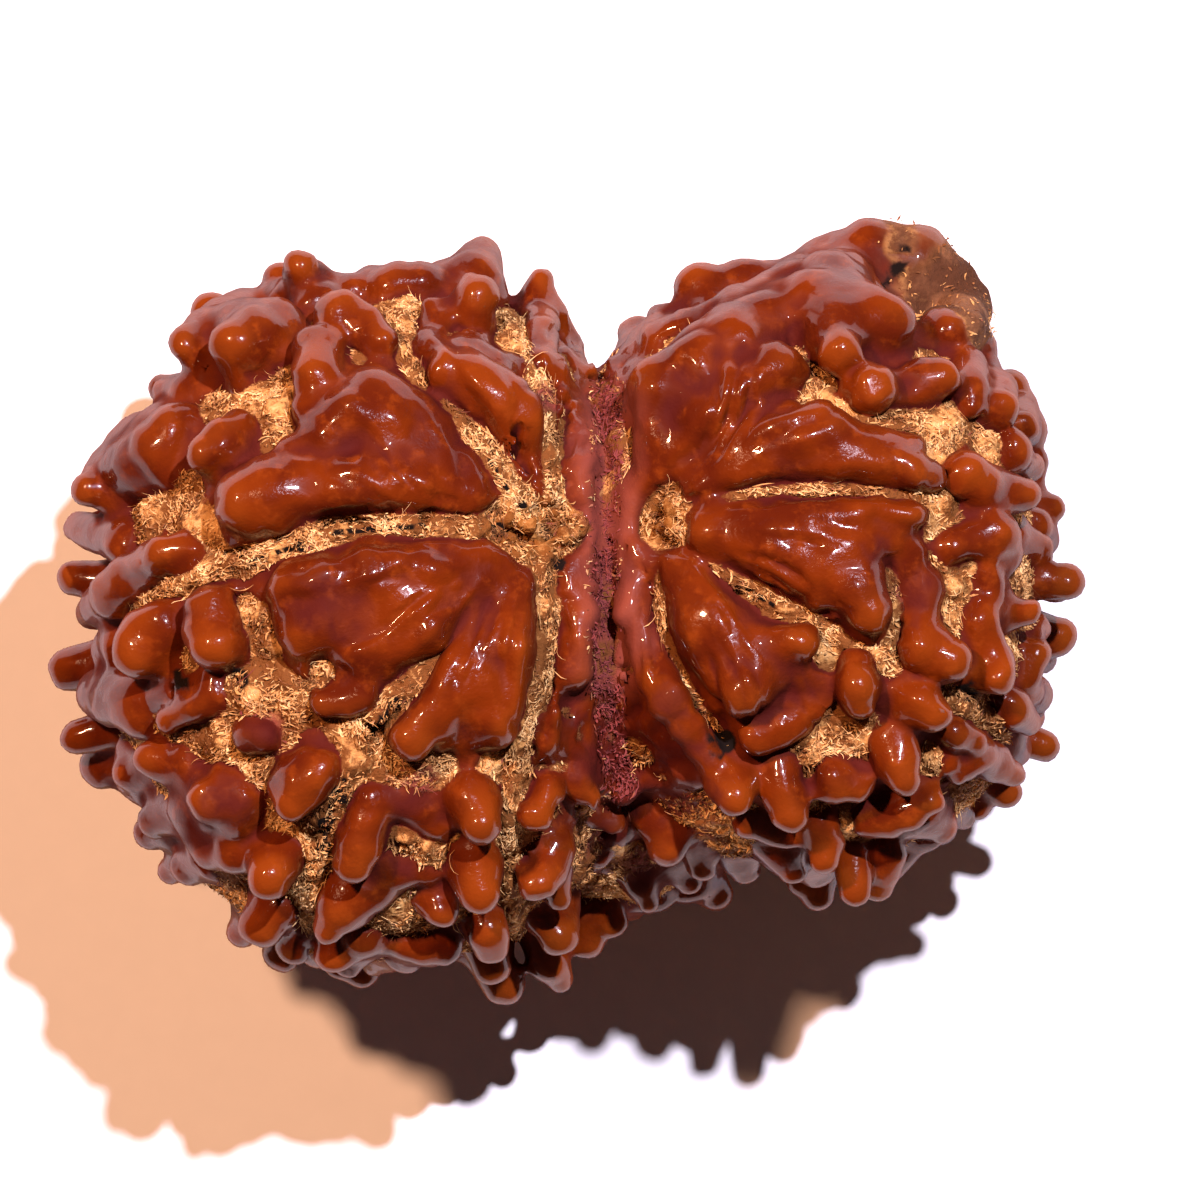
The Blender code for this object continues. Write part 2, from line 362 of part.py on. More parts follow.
def underside_runs(made):
    """Knobs in rows round each lobe's axis, between its grooves, wherever there are none yet."""
    rng = random.Random(SEED)
    taken = [top for run in made for (top, half), foot in run]
    runs = []
    for name, stem in STEM.items():
        axis = Vector(stem).normalized()
        side = axis.orthogonal().normalized()
        lobe = LOBES[name]
        reach = sum(lobe["half"]) / 3
        rows = int(math.pi * reach / KNOB_STEP)
        for row in range(2, rows):
            from_stem = math.pi * row / rows
            sector = 2 * math.pi / GROOVES[name]
            in_sector = max(1, round(sector * reach * math.sin(from_stem) / KNOB_STEP))
            for k in range(GROOVES[name] * in_sector):
                place = (k % in_sector + 0.5 + rng.uniform(-SCATTER, SCATTER)) / in_sector
                turn = sector * (k // in_sector + GROOVE_SHARE / 2 + (1 - GROOVE_SHARE) * place)
                tilt = from_stem + rng.uniform(-2 * SCATTER, 2 * SCATTER) / rows
                way = Matrix.Rotation(turn, 3, axis) @ side
                way = axis * math.cos(tilt) + way * math.sin(tilt)
                half = rng.uniform(*KNOB_HALF)
                crest = rng.uniform(*KNOB_CREST)
                lean = rng.uniform(*KNOB_LEAN)
                point = surface_point(lobe, np.array(way))
                normal = outward(point)
                if normal[2] > UNDERSIDE_BELOW or ground(point[None])[0] < -BURIED:
                    continue
                along = away_from(axis, normal)
                tip = point + normal * (crest - half) + along * lean
                if min(np.linalg.norm(tip - other) for other in taken) < KNOB_GAP:
                    continue
                taken.append(tip)
                root = point - (along + normal) * KNOB_BACK
                runs.append([((tip, KNOB_TIP * half), (root, KNOB_ROOT * half))])
    return runs


def surface_point(lobe, way):
    """Where a line from the lobe's centre meets its ground."""
    share = np.abs(way) / np.array(lobe["half"])
    power = lobe["square"]
    return np.array(lobe["centre"]) + way / (share**power).sum() ** (1 / power)


def away_from(axis, normal):
    """The direction along the surface that leads away from the stem."""
    along = -np.array(axis) + normal * np.dot(np.array(axis), normal)
    size = np.linalg.norm(along)
    return along / size if size > 1e-6 else along


def ball(subdivisions):
    """Corners and triangles of a ball of radius 1."""
    mesh = bmesh.new()
    bmesh.ops.create_icosphere(mesh, subdivisions=subdivisions, radius=1)
    corners = np.array([vertex.co for vertex in mesh.verts])
    faces = np.array([[vertex.index for vertex in face.verts] for face in mesh.faces])
    mesh.free()
    return corners, faces


def lobe_shells():
    """A closed shell for each lobe's ground, as (corners, triangles)."""
    corners, faces = ball(5)
    shells = []
    for lobe in LOBES.values():
        share = np.abs(corners) / np.array(lobe["half"])
        reach = (share ** lobe["square"]).sum(1) ** (1 / lobe["square"])
        shells.append((np.array(lobe["centre"]) + corners / reach[:, None], faces))
    return shells


def run_shells(run, unit):
    """Balls in rows along a run's crest and along its foot, and from each crest ball down to its foot."""
    corners, faces = unit
    rows = [(top, foot) for top, foot in run]
    for (top, foot), (next_top, next_foot) in zip(run, run[1:]):
        rows += [(top, next_top), (foot, next_foot)]
        middle = [((a + c) / 2, (b + d) / 2) for (a, b), (c, d) in ((top, next_top), (foot, next_foot))]
        rows.append(tuple(middle))
    shells = []
    for (start, start_half), (end, end_half) in rows:
        count = max(1, math.ceil(np.linalg.norm(end - start) / (BALL_STEP * min(start_half, end_half))))
        for share in np.arange(count + 1) / count:
            half = start_half + (end_half - start_half) * share
            shells.append((start + (end - start) * share + corners * half, faces))
    return shells


def mesh_from_shells(name, shells):
    """One mesh that holds all the shells."""
    corners, faces, count = [], [], 0
    for shell_corners, shell_faces in shells:
        corners.append(shell_corners)
        faces.append(shell_faces + count)
        count += len(shell_corners)
    data = bpy.data.meshes.new(name)
    data.from_pydata((np.concatenate(corners) * MM).tolist(), [], np.concatenate(faces).tolist())
    return data


def distance_to_line(points, line):
    """Distance in plan from each point (N by 3) to a run of (x, y) points."""
    nearest = np.full(len(points), 1e9)
    for start, end in zip(np.array(line), np.array(line)[1:]):
        way = end - start
        share = ((points[:, :2] - start) @ way / (way @ way)).clip(0, 1)
        nearest = np.minimum(nearest, np.linalg.norm(points[:, :2] - start - share[:, None] * way, axis=1))
    return nearest


def carve(data):
    """Sinks the grooves and the stem pits into the upper face."""
    points = np.empty(3 * len(data.vertices))
    data.vertices.foreach_get("co", points)
    points = points.reshape(-1, 3) / MM
    sink = np.zeros(len(points))
    for half, depth, line in CARVED:
        share = (distance_to_line(points, line) / (SLOPE_SPREAD * half)).clip(0, 1)
        sink = np.maximum(sink, depth * (1 - share**2) ** 2)
    for x, y, half in POCKETS:
        share = (np.hypot(points[:, 0] - x, points[:, 1] - y) / (SLOPE_SPREAD * half)).clip(0, 1)
        sink = np.maximum(sink, POCKET_DEPTH * (1 - share**2) ** 2)
    for centre, half, depth in PITS:
        share = np.linalg.norm((points[:, :2] - centre) / half, axis=1).clip(0, 1)
        sink = np.maximum(sink, depth * (1 - share**2))
    sink[points[:, 2] < UPPER_FACE_ABOVE] = 0
    probes = [ground(points + axis * PROBE) - ground(points - axis * PROBE) for axis in np.eye(3)]
    slope = np.stack(probes, 1)
    slope /= np.linalg.norm(slope, axis=1)[:, None]
    points -= slope * sink[:, None]
    data.vertices.foreach_set("co", (points * MM).ravel())
    data.update()


def bake(obj):
    """Replaces the object's mesh by what its modifiers make of it."""
    graph = bpy.context.evaluated_depsgraph_get()
    obj.data = bpy.data.meshes.new_from_object(obj.evaluated_get(graph))
    obj.modifiers.clear()


def bead_finish():
    """Polished red-brown stone."""
    material = bpy.data.materials.new("bead_skin")
    material.use_nodes = True
    shader = material.node_tree.nodes["Principled BSDF"]
    shader.inputs["Base Color"].default_value = (0.30, 0.07, 0.02, 1)
    shader.inputs["Roughness"].default_value = 0.35
    shader.inputs["Metallic"].default_value = 0.0
    return material


def floor_cutter():
    """A slab whose top is the resting surface: it gives the lowest knobs their flat spots."""
    mesh = bmesh.new()
    size = 60 * MM
    place = Matrix.Translation((0, 0, -size / 2)) @ Matrix.Scale(size, 4)
    bmesh.ops.create_cube(mesh, size=1, matrix=place)
    data = bpy.data.meshes.new("floor_cutter")
    mesh.to_mesh(data)
    mesh.free()
    cutter = bpy.data.objects.new("floor_cutter", data)
    cutter.hide_render = True
    cutter.display_type = "WIRE"
    bpy.context.scene.collection.objects.link(cutter)
    return cutter


def make_bead():
    shells = lobe_shells()
    unit = ball(2)
    runs = ridge_runs() + finger_runs() + feet_runs()
    for run in runs + underside_runs(runs):
        shells += run_shells(run, unit)
    bead = bpy.data.objects.new("twin_bead", mesh_from_shells("twin_bead", shells))
    bpy.context.scene.collection.objects.link(bead)

    skin = bead.modifiers.new("one skin", "REMESH")
    skin.mode = "VOXEL"
    skin.voxel_size = VOXEL * MM
    smooth = bead.modifiers.new("melted joints", "SMOOTH")
    smooth.factor = 0.5
    smooth.iterations = SMOOTHING
    bake(bead)
    carve(bead.data)

    thin = bead.modifiers.new("fewer faces", "DECIMATE")
    thin.ratio = TRIANGLES / (2 * len(bead.data.polygons))
    thin.use_collapse_triangulate = True
    bake(bead)

    cut = bead.modifiers.new("resting flats", "BOOLEAN")
    cut.operation = "DIFFERENCE"
    cut.object = floor_cutter()
    bake(bead)
    return bead


def centre_on_origin(bead):
    """Puts the middle of the bead's footprint over the origin."""
    corners = np.array([vertex.co for vertex in bead.data.vertices])
    middle = (corners.min(0) + corners.max(0)) / 2
    bead.data.transform(Matrix.Translation((-middle[0], -middle[1], 0)))
    return middle


for old in list(bpy.data.objects):
    bpy.data.objects.remove(old)
bead = make_bead()
moved = centre_on_origin(bead)
bead.data.materials.clear()
bead.data.materials.append(bead_finish())
bead.data.shade_smooth()
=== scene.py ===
import math
import random

import bpy
import numpy as np
from mathutils import Matrix, Vector


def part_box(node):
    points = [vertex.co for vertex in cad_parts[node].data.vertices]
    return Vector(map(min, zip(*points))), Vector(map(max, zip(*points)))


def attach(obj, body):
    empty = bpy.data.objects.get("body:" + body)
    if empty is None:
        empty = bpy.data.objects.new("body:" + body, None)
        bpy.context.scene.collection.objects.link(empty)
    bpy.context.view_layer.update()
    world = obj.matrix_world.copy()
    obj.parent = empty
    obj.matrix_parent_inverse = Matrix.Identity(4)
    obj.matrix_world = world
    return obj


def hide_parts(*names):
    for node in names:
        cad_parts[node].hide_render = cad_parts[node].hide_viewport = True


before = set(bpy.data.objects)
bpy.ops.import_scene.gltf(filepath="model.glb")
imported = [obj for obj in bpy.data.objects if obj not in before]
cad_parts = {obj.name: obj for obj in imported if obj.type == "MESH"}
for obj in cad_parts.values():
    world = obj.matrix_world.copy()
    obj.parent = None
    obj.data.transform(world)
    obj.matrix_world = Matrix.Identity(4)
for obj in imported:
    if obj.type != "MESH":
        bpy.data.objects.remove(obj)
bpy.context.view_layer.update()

# Each lobe's bare ground, under its knobs: centre, half lengths, and how square it is (2 is an ellipse).
lobes = {
    "left": {"centre": (-6.4, -0.3, 11.3), "half": (9.9, 12.0, 10.4), "square": 2.15},
    "right": {"centre": (8.45, 1.3, 10.6), "half": (8.5, 10.0, 9.7), "square": 2.6},
    "neck": {"centre": (1.5, 1.2, 10.3), "half": (4.0, 6.5, 7.9), "square": 2.2},
    "heel": {"centre": (1.8, -5.0, 7.9), "half": (4.6, 5.3, 6.6), "square": 2.0},
}

# Ridges of the upper face, each a run of points: x, y, half width, and its crest's height over the ground.
leftRidges = [
    # broad plates round the stem pit, which the narrower ridges crown
    [(-3.2, 1.9, 0.7, 0.7), (-4.6, 1.3, 1.2, 0.9), (-6.4, 0.6, 1.9, 1.0), (-8.4, 0.3, 1.9, 1.05),
     (-9.3, 0.2, 1.3, 1.1)],
    [(-5.2, -0.2, 0.9, 0.9), (-6.7, -1.2, 1.0, 1.0)],
    [(-3.6, 4.6, 0.9, 0.7), (-6.3, 4.9, 1.2, 1.05), (-9.0, 4.8, 1.3, 1.15), (-11.4, 4.2, 1.35, 1.6)],
    [(-5.0, 6.2, 1.2, 0.9), (-6.7, 7.1, 1.8, 1.15), (-7.8, 7.0, 1.4, 1.25)],
    [(-4.2, 8.9, 0.8, 1.1), (-3.0, 8.3, 1.1, 1.3), (-2.0, 7.2, 0.9, 1.3)],
    [(-2.1, 0.6, 0.7, 0.7), (-2.5, -1.0, 1.2, 1.1), (-3.2, -2.6, 1.5, 1.15), (-2.7, -3.6, 1.2, 1.15)],
    [(-3.6, -2.4, 1.1, 1.1), (-4.6, -3.6, 0.9, 1.15)],
    [(-11.6, 10.2, 1.5, 1.6), (-11.0, 9.6, 1.2, 1.2)],
    [(-3.4, 11.6, 1.3, 1.3), (-3.2, 12.6, 1.1, 1.6)],
    [(-14.6, 6.2, 1.4, 1.3), (-16.0, 5.3, 1.3, 1.5)],
    [(-12.0, -6.6, 1.6, 1.1), (-13.4, -7.2, 1.3, 1.2)],
    # above the groove that runs left from the stem pit
    [(-3.5, 4.45, 0.75, 0.7), (-6.4, 4.6, 0.95, 1.15), (-9.3, 4.5, 0.95, 1.3)],
    [(-9.9, 4.3, 0.9, 1.3), (-11.6, 4.05, 1.2, 1.9)],
    [(-4.4, 5.6, 0.5, 0.7), (-6.3, 5.75, 0.5, 0.9)],
    [(-5.0, 7.2, 0.8, 1.0), (-7.0, 7.9, 0.95, 1.5), (-8.3, 6.8, 0.85, 1.4)],
    [(-4.6, 6.3, 0.6, 0.7), (-6.6, 6.7, 1.1, 1.2)],
    [(-8.6, 6.4, 0.5, 1.3), (-9.9, 6.0, 0.55, 1.1)],
    [(-9.0, 9.5, 0.7, 1.5), (-9.3, 7.6, 0.75, 1.2)],
    [(-11.8, 6.5, 0.7, 1.2), (-13.1, 5.9, 0.7, 1.7)],
    [(-10.7, 10.4, 1.0, 1.6), (-12.0, 9.85, 1.0, 2.0)],
    [(-11.8, 10.9, 0.95, 1.2), (-13.9, 9.95, 0.5, 2.0)],
    [(-10.2, 11.2, 0.65, 0.9), (-10.5, 12.35, 0.65, 1.2)],
    [(-9.1, 11.5, 0.7, 1.2), (-9.65, 12.75, 0.6, 1.9)],
    [(-8.6, 11.4, 0.7, 0.9), (-7.0, 11.9, 0.7, 1.1), (-5.4, 12.1, 0.7, 1.3)],
    [(-6.7, 9.9, 0.55, 1.0), (-8.2, 11.05, 0.85, 1.6)],
    [(-14.3, 6.6, 0.85, 1.5), (-15.6, 5.6, 0.85, 1.6), (-17.5, 4.6, 0.5, 2.0)],
    [(-14.2, 5.3, 0.75, 1.0), (-17.0, 4.5, 0.5, 1.3)],
    [(-12.8, 8.1, 0.55, 0.6), (-14.65, 8.2, 0.4, 1.3)],
    [(-15.9, 2.6, 0.65, 1.0), (-17.95, 3.25, 0.42, 1.6)],
    [(-13.8, 2.2, 0.7, 1.2), (-14.6, 2.3, 0.7, 1.5)],
    [(-14.9, 1.9, 0.7, 1.2), (-17.4, 0.1, 0.6, 1.4)],
    # above the stem pit, up to the notch
    [(-3.8, 11.4, 0.95, 1.0), (-3.05, 13.3, 0.7, 2.2)],
    [(-3.6, 11.9, 0.9, 1.3), (-5.0, 12.3, 0.6, 1.2)],
    [(-3.35, 11.2, 0.75, 1.4), (-3.25, 11.6, 0.78, 1.9)],
    [(-1.65, 6.4, 0.5, 0.8), (-1.95, 7.6, 0.9, 1.4), (-4.4, 8.85, 0.5, 1.3)],
    [(-1.7, 8.9, 0.5, 0.6), (-3.8, 9.5, 0.5, 0.8)],
    [(-5.1, 9.8, 0.4, 0.8), (-5.0, 9.6, 0.4, 0.8)],
    [(-1.3, 10.9, 0.55, 0.9), (-0.85, 12.35, 0.3, 1.8)],
    [(-0.95, 11.3, 0.42, 1.0), (-0.95, 9.2, 0.45, 0.8)],
    [(-0.35, 10.9, 0.35, 0.8), (0.35, 8.9, 0.3, 0.5)],
    [(0.35, 7.4, 0.35, 0.5), (0.5, 4.4, 0.45, 0.8)],
    [(0.5, 1.9, 0.4, 0.6), (0.35, -1.9, 0.7, 1.2)],
    # the broad fan below the left groove, and the knobs out to the rim
    [(-3.3, 1.95, 0.5, 0.6), (-6.2, 1.7, 0.8, 1.1), (-9.7, 0.9, 1.1, 1.4)],
    [(-3.4, 1.4, 0.5, 0.65), (-6.6, 0.4, 0.8, 1.0), (-9.3, -0.6, 0.95, 1.2)],
    [(-3.0, 1.0, 0.45, 0.6), (-5.0, -0.5, 0.7, 1.1), (-7.3, -1.45, 0.7, 1.2)],
    [(-12.9, 0.2, 0.95, 1.6), (-12.7, -1.0, 1.0, 1.7)],
    [(-14.6, -0.4, 0.85, 1.5), (-15.6, -1.3, 1.1, 2.2)],
    [(-15.4, -3.3, 0.95, 1.2), (-17.1, -2.9, 0.95, 1.6)],
    [(-12.5, -3.0, 0.38, 0.8), (-14.4, -3.85, 0.33, 1.0)],
    [(-12.8, -2.4, 0.3, 0.5), (-14.6, -3.0, 0.3, 0.5)],
    [(-13.6, -5.5, 0.7, 1.0), (-15.1, -5.3, 0.65, 1.3)],
    [(-11.2, -4.2, 0.65, 0.9), (-10.9, -4.4, 0.65, 0.9)],
    [(-7.3, -2.95, 0.42, 0.8), (-8.7, -3.2, 0.5, 1.0)],
    [(-11.9, -6.5, 0.95, 1.3), (-12.9, -6.7, 1.0, 1.6)],
    [(-12.8, -8.4, 0.65, 1.2), (-11.2, -8.7, 0.6, 1.0)],
    [(-8.9, -5.6, 0.8, 1.3), (-9.9, -6.9, 0.6, 1.7)],
    [(-9.2, -5.6, 0.7, 1.2), (-10.3, -6.2, 0.5, 1.3)],
    [(-10.2, -8.5, 0.58, 1.0), (-10.75, -9.6, 0.7, 2.0)],
    [(-10.5, -10.6, 0.7, 1.0), (-11.05, -11.3, 0.93, 1.7)],
    # between the two lower grooves
    [(-2.6, 0.4, 0.45, 0.6), (-3.6, -1.9, 0.6, 1.1), (-5.55, -4.5, 0.5, 1.4)],
    [(-1.95, 0.5, 0.5, 0.6), (-2.1, -1.2, 0.8, 1.3), (-2.4, -3.8, 0.85, 1.4)],
    [(-3.1, -2.9, 0.7, 0.9), (-3.6, -3.9, 0.8, 0.8)],
    [(-3.35, -6.6, 0.78, 1.2), (-3.05, -7.5, 0.74, 1.8)],
    [(-3.5, -8.6, 0.7, 1.0), (-3.05, -10.1, 0.7, 1.9)],
    [(-3.0, -10.9, 0.55, 0.9), (-2.7, -12.1, 0.6, 1.6)],
    [(-2.9, -12.0, 0.6, 0.8), (-2.65, -12.95, 0.62, 1.3)],
    [(-7.0, -6.7, 0.55, 1.0), (-7.65, -9.1, 0.64, 1.9)],
    [(-7.9, -10.0, 0.75, 1.1), (-8.6, -11.3, 0.58, 1.7)],
    [(-6.3, -9.4, 0.45, 0.6), (-7.6, -10.7, 0.5, 1.0)],
    [(-7.4, -11.7, 0.55, 0.9), (-8.4, -12.4, 0.55, 1.2)],
    [(-4.7, -10.3, 0.6, 0.9), (-4.5, -10.8, 0.6, 1.1)],
    [(-5.8, -12.0, 0.5, 0.9), (-4.5, -12.2, 0.5, 1.1)],
    [(-5.8, -6.6, 0.65, 0.6), (-4.8, -7.7, 0.7, 0.6)],
    [(-6.2, -8.9, 0.5, 0.6), (-5.1, -9.2, 0.5, 0.6)],
    # between the lower groove and the seam
    [(-0.85, -3.95, 0.33, 0.6), (-0.75, -4.5, 0.36, 0.7)],
    [(-0.75, -6.4, 0.48, 0.9), (-1.1, -7.3, 0.5, 1.5)],
    [(-0.4, -8.5, 0.55, 1.0), (-1.0, -9.8, 0.66, 1.8)],
    [(-0.35, -10.8, 0.58, 1.0), (-0.3, -11.8, 0.66, 1.7)],
    [(0.5, -9.3, 0.45, 0.6), (2.7, -7.2, 0.45, 0.7)],
    [(0.9, -4.0, 0.6, 0.4), (2.0, -5.4, 0.6, 0.5)],
    [(3.3, -7.5, 0.55, 0.9), (3.7, -8.5, 0.62, 1.4)],
    [(1.2, -10.7, 0.5, 0.9), (1.75, -11.3, 0.45, 1.3)],
]
rightRidges = [
    # broad plates, as on the left lobe
    [(3.4, 6.2, 0.7, 0.8), (3.9, 8.0, 1.3, 1.5), (5.3, 9.3, 1.5, 1.6), (7.2, 10.3, 1.5, 1.5),
     (9.0, 11.3, 1.5, 1.7), (10.4, 12.4, 1.3, 2.0)],
    [(5.2, 7.2, 0.9, 1.1), (6.5, 8.2, 1.2, 1.4), (7.8, 8.8, 1.1, 1.3)],
    [(9.9, 10.4, 1.5, 1.7), (11.5, 10.6, 1.3, 1.7)],
    [(5.8, 5.4, 0.8, 0.7), (7.6, 6.1, 1.2, 1.2), (9.2, 6.2, 1.2, 1.2), (10.6, 5.8, 0.9, 1.1)],
    [(5.8, 3.0, 0.8, 0.7), (7.8, 2.8, 1.3, 1.1), (9.4, 2.2, 1.5, 1.2), (10.4, 1.4, 1.2, 1.2)],
    [(4.6, 1.2, 0.9, 0.8), (5.2, 0.0, 1.5, 1.2), (6.1, -1.2, 1.5, 1.3), (6.6, -2.6, 0.9, 1.6)],
    # above the stem pit, out to the trunk
    [(3.5, 10.2, 0.5, 0.7), (6.2, 11.2, 0.6, 1.2), (8.2, 12.1, 0.65, 1.5), (10.1, 13.3, 0.85, 1.9)],
    [(3.45, 5.8, 0.42, 0.7), (3.6, 8.1, 0.95, 1.6), (5.4, 9.5, 0.8, 1.6), (7.2, 10.5, 0.8, 1.5)],
    [(4.5, 6.2, 0.55, 0.8), (4.7, 8.0, 0.7, 1.2)],
    [(4.95, 6.8, 0.45, 0.8), (6.3, 8.0, 0.75, 1.4), (7.7, 8.9, 0.85, 1.4)],
    [(7.3, 10.6, 0.8, 1.4), (9.1, 11.4, 0.95, 1.7), (10.1, 11.6, 0.9, 1.6)],
    [(9.6, 11.0, 0.85, 1.5), (9.95, 9.5, 0.75, 1.9)],
    [(10.1, 10.9, 0.85, 1.4), (12.0, 10.7, 0.85, 1.7)],
    [(13.0, 12.0, 0.4, 0.9), (13.9, 11.2, 0.45, 1.1)],
    [(13.8, 10.35, 0.72, 1.3), (14.0, 10.45, 0.72, 1.5)],
    [(14.6, 10.2, 0.6, 1.0), (15.3, 9.8, 0.55, 1.4)],
    [(11.0, 8.2, 0.9, 1.4), (11.2, 8.2, 0.9, 1.5)],
    [(11.9, 8.1, 0.5, 0.8), (12.4, 7.9, 0.45, 0.7)],
    [(13.2, 8.5, 0.82, 1.2), (13.7, 8.65, 0.85, 1.5)],
    [(14.7, 9.0, 0.5, 1.1), (14.8, 7.6, 0.48, 1.1)],
    [(15.5, 8.8, 0.5, 1.1), (15.9, 7.6, 0.55, 1.2)],
    [(16.4, 8.3, 0.45, 1.0), (16.9, 7.0, 0.45, 1.1)],
    # the fan above the groove that runs right
    [(5.4, 4.95, 0.4, 0.6), (7.5, 5.4, 0.5, 1.0), (9.8, 5.5, 0.55, 1.1)],
    [(5.9, 5.8, 0.55, 0.7), (7.7, 6.7, 0.8, 1.4), (9.3, 6.8, 0.75, 1.3)],
    [(10.9, 5.5, 0.58, 1.1), (12.0, 5.4, 0.65, 1.3), (13.2, 5.0, 0.46, 1.1)],
    [(11.2, 6.3, 0.4, 0.7), (12.5, 6.2, 0.4, 0.7)],
    [(14.6, 5.0, 0.65, 1.3), (15.6, 4.5, 0.58, 1.1), (16.8, 4.4, 0.48, 1.4)],
    [(16.3, 6.0, 0.48, 1.0), (17.0, 5.4, 0.45, 1.1)],
    # the fan below it
    [(5.4, 3.4, 0.42, 0.6), (8.0, 3.75, 0.5, 1.0), (12.5, 3.6, 0.45, 1.1)],
    [(5.6, 2.8, 0.5, 0.7), (8.5, 2.4, 0.7, 1.2), (10.4, 2.1, 0.8, 1.2)],
    [(5.8, 2.3, 0.4, 0.6), (8.3, 1.4, 0.55, 1.1), (10.0, 0.95, 0.62, 1.2)],
    [(10.6, 1.4, 0.62, 1.2), (11.05, 0.2, 0.7, 1.7)],
    [(11.0, 2.8, 0.42, 0.8), (12.6, 2.2, 0.4, 0.7)],
    [(14.0, 2.5, 0.42, 0.8), (15.6, 2.9, 0.72, 1.4), (16.1, 2.2, 0.6, 1.2)],
    [(15.3, 1.4, 0.7, 0.9), (15.1, -0.2, 0.72, 1.0)],
    [(13.0, 0.9, 0.7, 0.7), (13.0, -0.1, 0.7, 0.8)],
    [(12.9, -1.1, 0.58, 1.2), (14.0, -1.6, 0.76, 1.7)],
    [(15.4, -1.2, 0.65, 1.1), (15.8, -2.3, 0.63, 1.6)],
    [(17.0, 1.2, 0.45, 0.6), (18.35, 1.2, 0.53, 1.6)],
    [(17.2, 3.3, 0.5, 0.8), (17.7, 2.8, 0.5, 1.0)],
    [(17.2, -0.5, 0.4, 0.8), (17.2, -1.4, 0.4, 0.9)],
    [(16.9, -2.2, 0.35, 0.9), (17.2, -3.4, 0.35, 0.9)],
    # below the lower right groove
    [(16.3, -3.3, 0.48, 1.1), (17.0, -3.95, 0.42, 1.5)],
    [(12.4, -2.7, 0.62, 1.1), (13.3, -3.5, 0.73, 1.7)],
    [(10.6, -2.0, 0.66, 1.2), (10.75, -3.3, 0.45, 1.4)],
    [(11.9, -4.6, 0.6, 1.1), (12.4, -6.0, 0.58, 1.8)],
    [(14.2, -4.3, 0.38, 0.9), (15.0, -4.6, 0.42, 1.1)],
    [(13.8, -5.3, 0.4, 0.8), (14.3, -5.8, 0.42, 1.0)],
    [(15.1, -5.1, 0.45, 1.0), (16.4, -5.8, 0.45, 1.4)],
    [(11.2, -7.4, 0.5, 0.9), (12.6, -7.2, 0.5, 1.3), (13.4, -6.75, 0.45, 1.5)],
    [(9.9, -6.0, 0.66, 1.2), (10.6, -6.2, 0.64, 1.3)],
    [(7.95, -5.7, 0.58, 1.1), (8.2, -7.2, 0.68, 1.8)],
    [(4.8, 1.2, 0.75, 0.8), (5.3, -0.3, 1.15, 1.3), (6.4, -1.3, 1.05, 1.4), (6.55, -2.7, 0.74, 1.8)],
    [(7.5, -1.2, 0.7, 1.2), (8.6, -0.95, 0.74, 1.4)],
    [(7.3, -1.9, 0.6, 0.9), (8.4, -2.1, 0.55, 0.9)],
    [(8.4, -3.7, 0.62, 0.9), (7.1, -4.4, 0.45, 1.3)],
    [(9.4, -7.6, 0.48, 0.9), (9.5, -8.95, 0.48, 1.8)],
    [(10.5, -8.7, 0.42, 0.9), (10.65, -10.1, 0.44, 1.9)],
    [(11.9, -8.7, 0.35, 1.0), (11.4, -9.95, 0.37, 1.8)],
    [(6.8, -7.5, 0.42, 0.7), (8.2, -8.1, 0.42, 0.8)],
    # the long ridge beside the seam, and the ring round the stem pit
    [(2.65, 2.4, 0.38, 0.5), (2.65, 0.0, 0.48, 0.9), (3.3, -2.2, 0.5, 1.2), (4.4, -4.0, 0.5, 1.3),
     (5.6, -5.5, 0.55, 1.4), (6.15, -6.6, 0.6, 1.8)],
    [(2.5, 3.9, 0.42, 0.5), (3.15, 5.2, 0.48, 0.6)],
    [(4.2, 5.4, 0.5, 0.6), (5.2, 4.4, 0.45, 0.6), (5.25, 2.9, 0.45, 0.6)],
    [(4.6, 1.9, 0.38, 0.4), (3.4, 1.9, 0.38, 0.4)],
]
# The trunk-like outgrowth at the far corner of the right lobe, as the ridges are given.
trunk = [
    [(10.3, 12.8, 1.2, 2.0), (11.4, 13.2, 1.25, 2.4), (12.8, 12.9, 1.2, 2.3), (13.9, 12.1, 1.15, 2.1),
     (14.6, 11.3, 1.0, 1.8), (14.7, 10.5, 0.8, 1.5)],
    [(11.4, 12.3, 1.1, 1.5), (12.9, 11.9, 1.2, 1.7), (13.8, 11.1, 1.0, 1.5)],
]
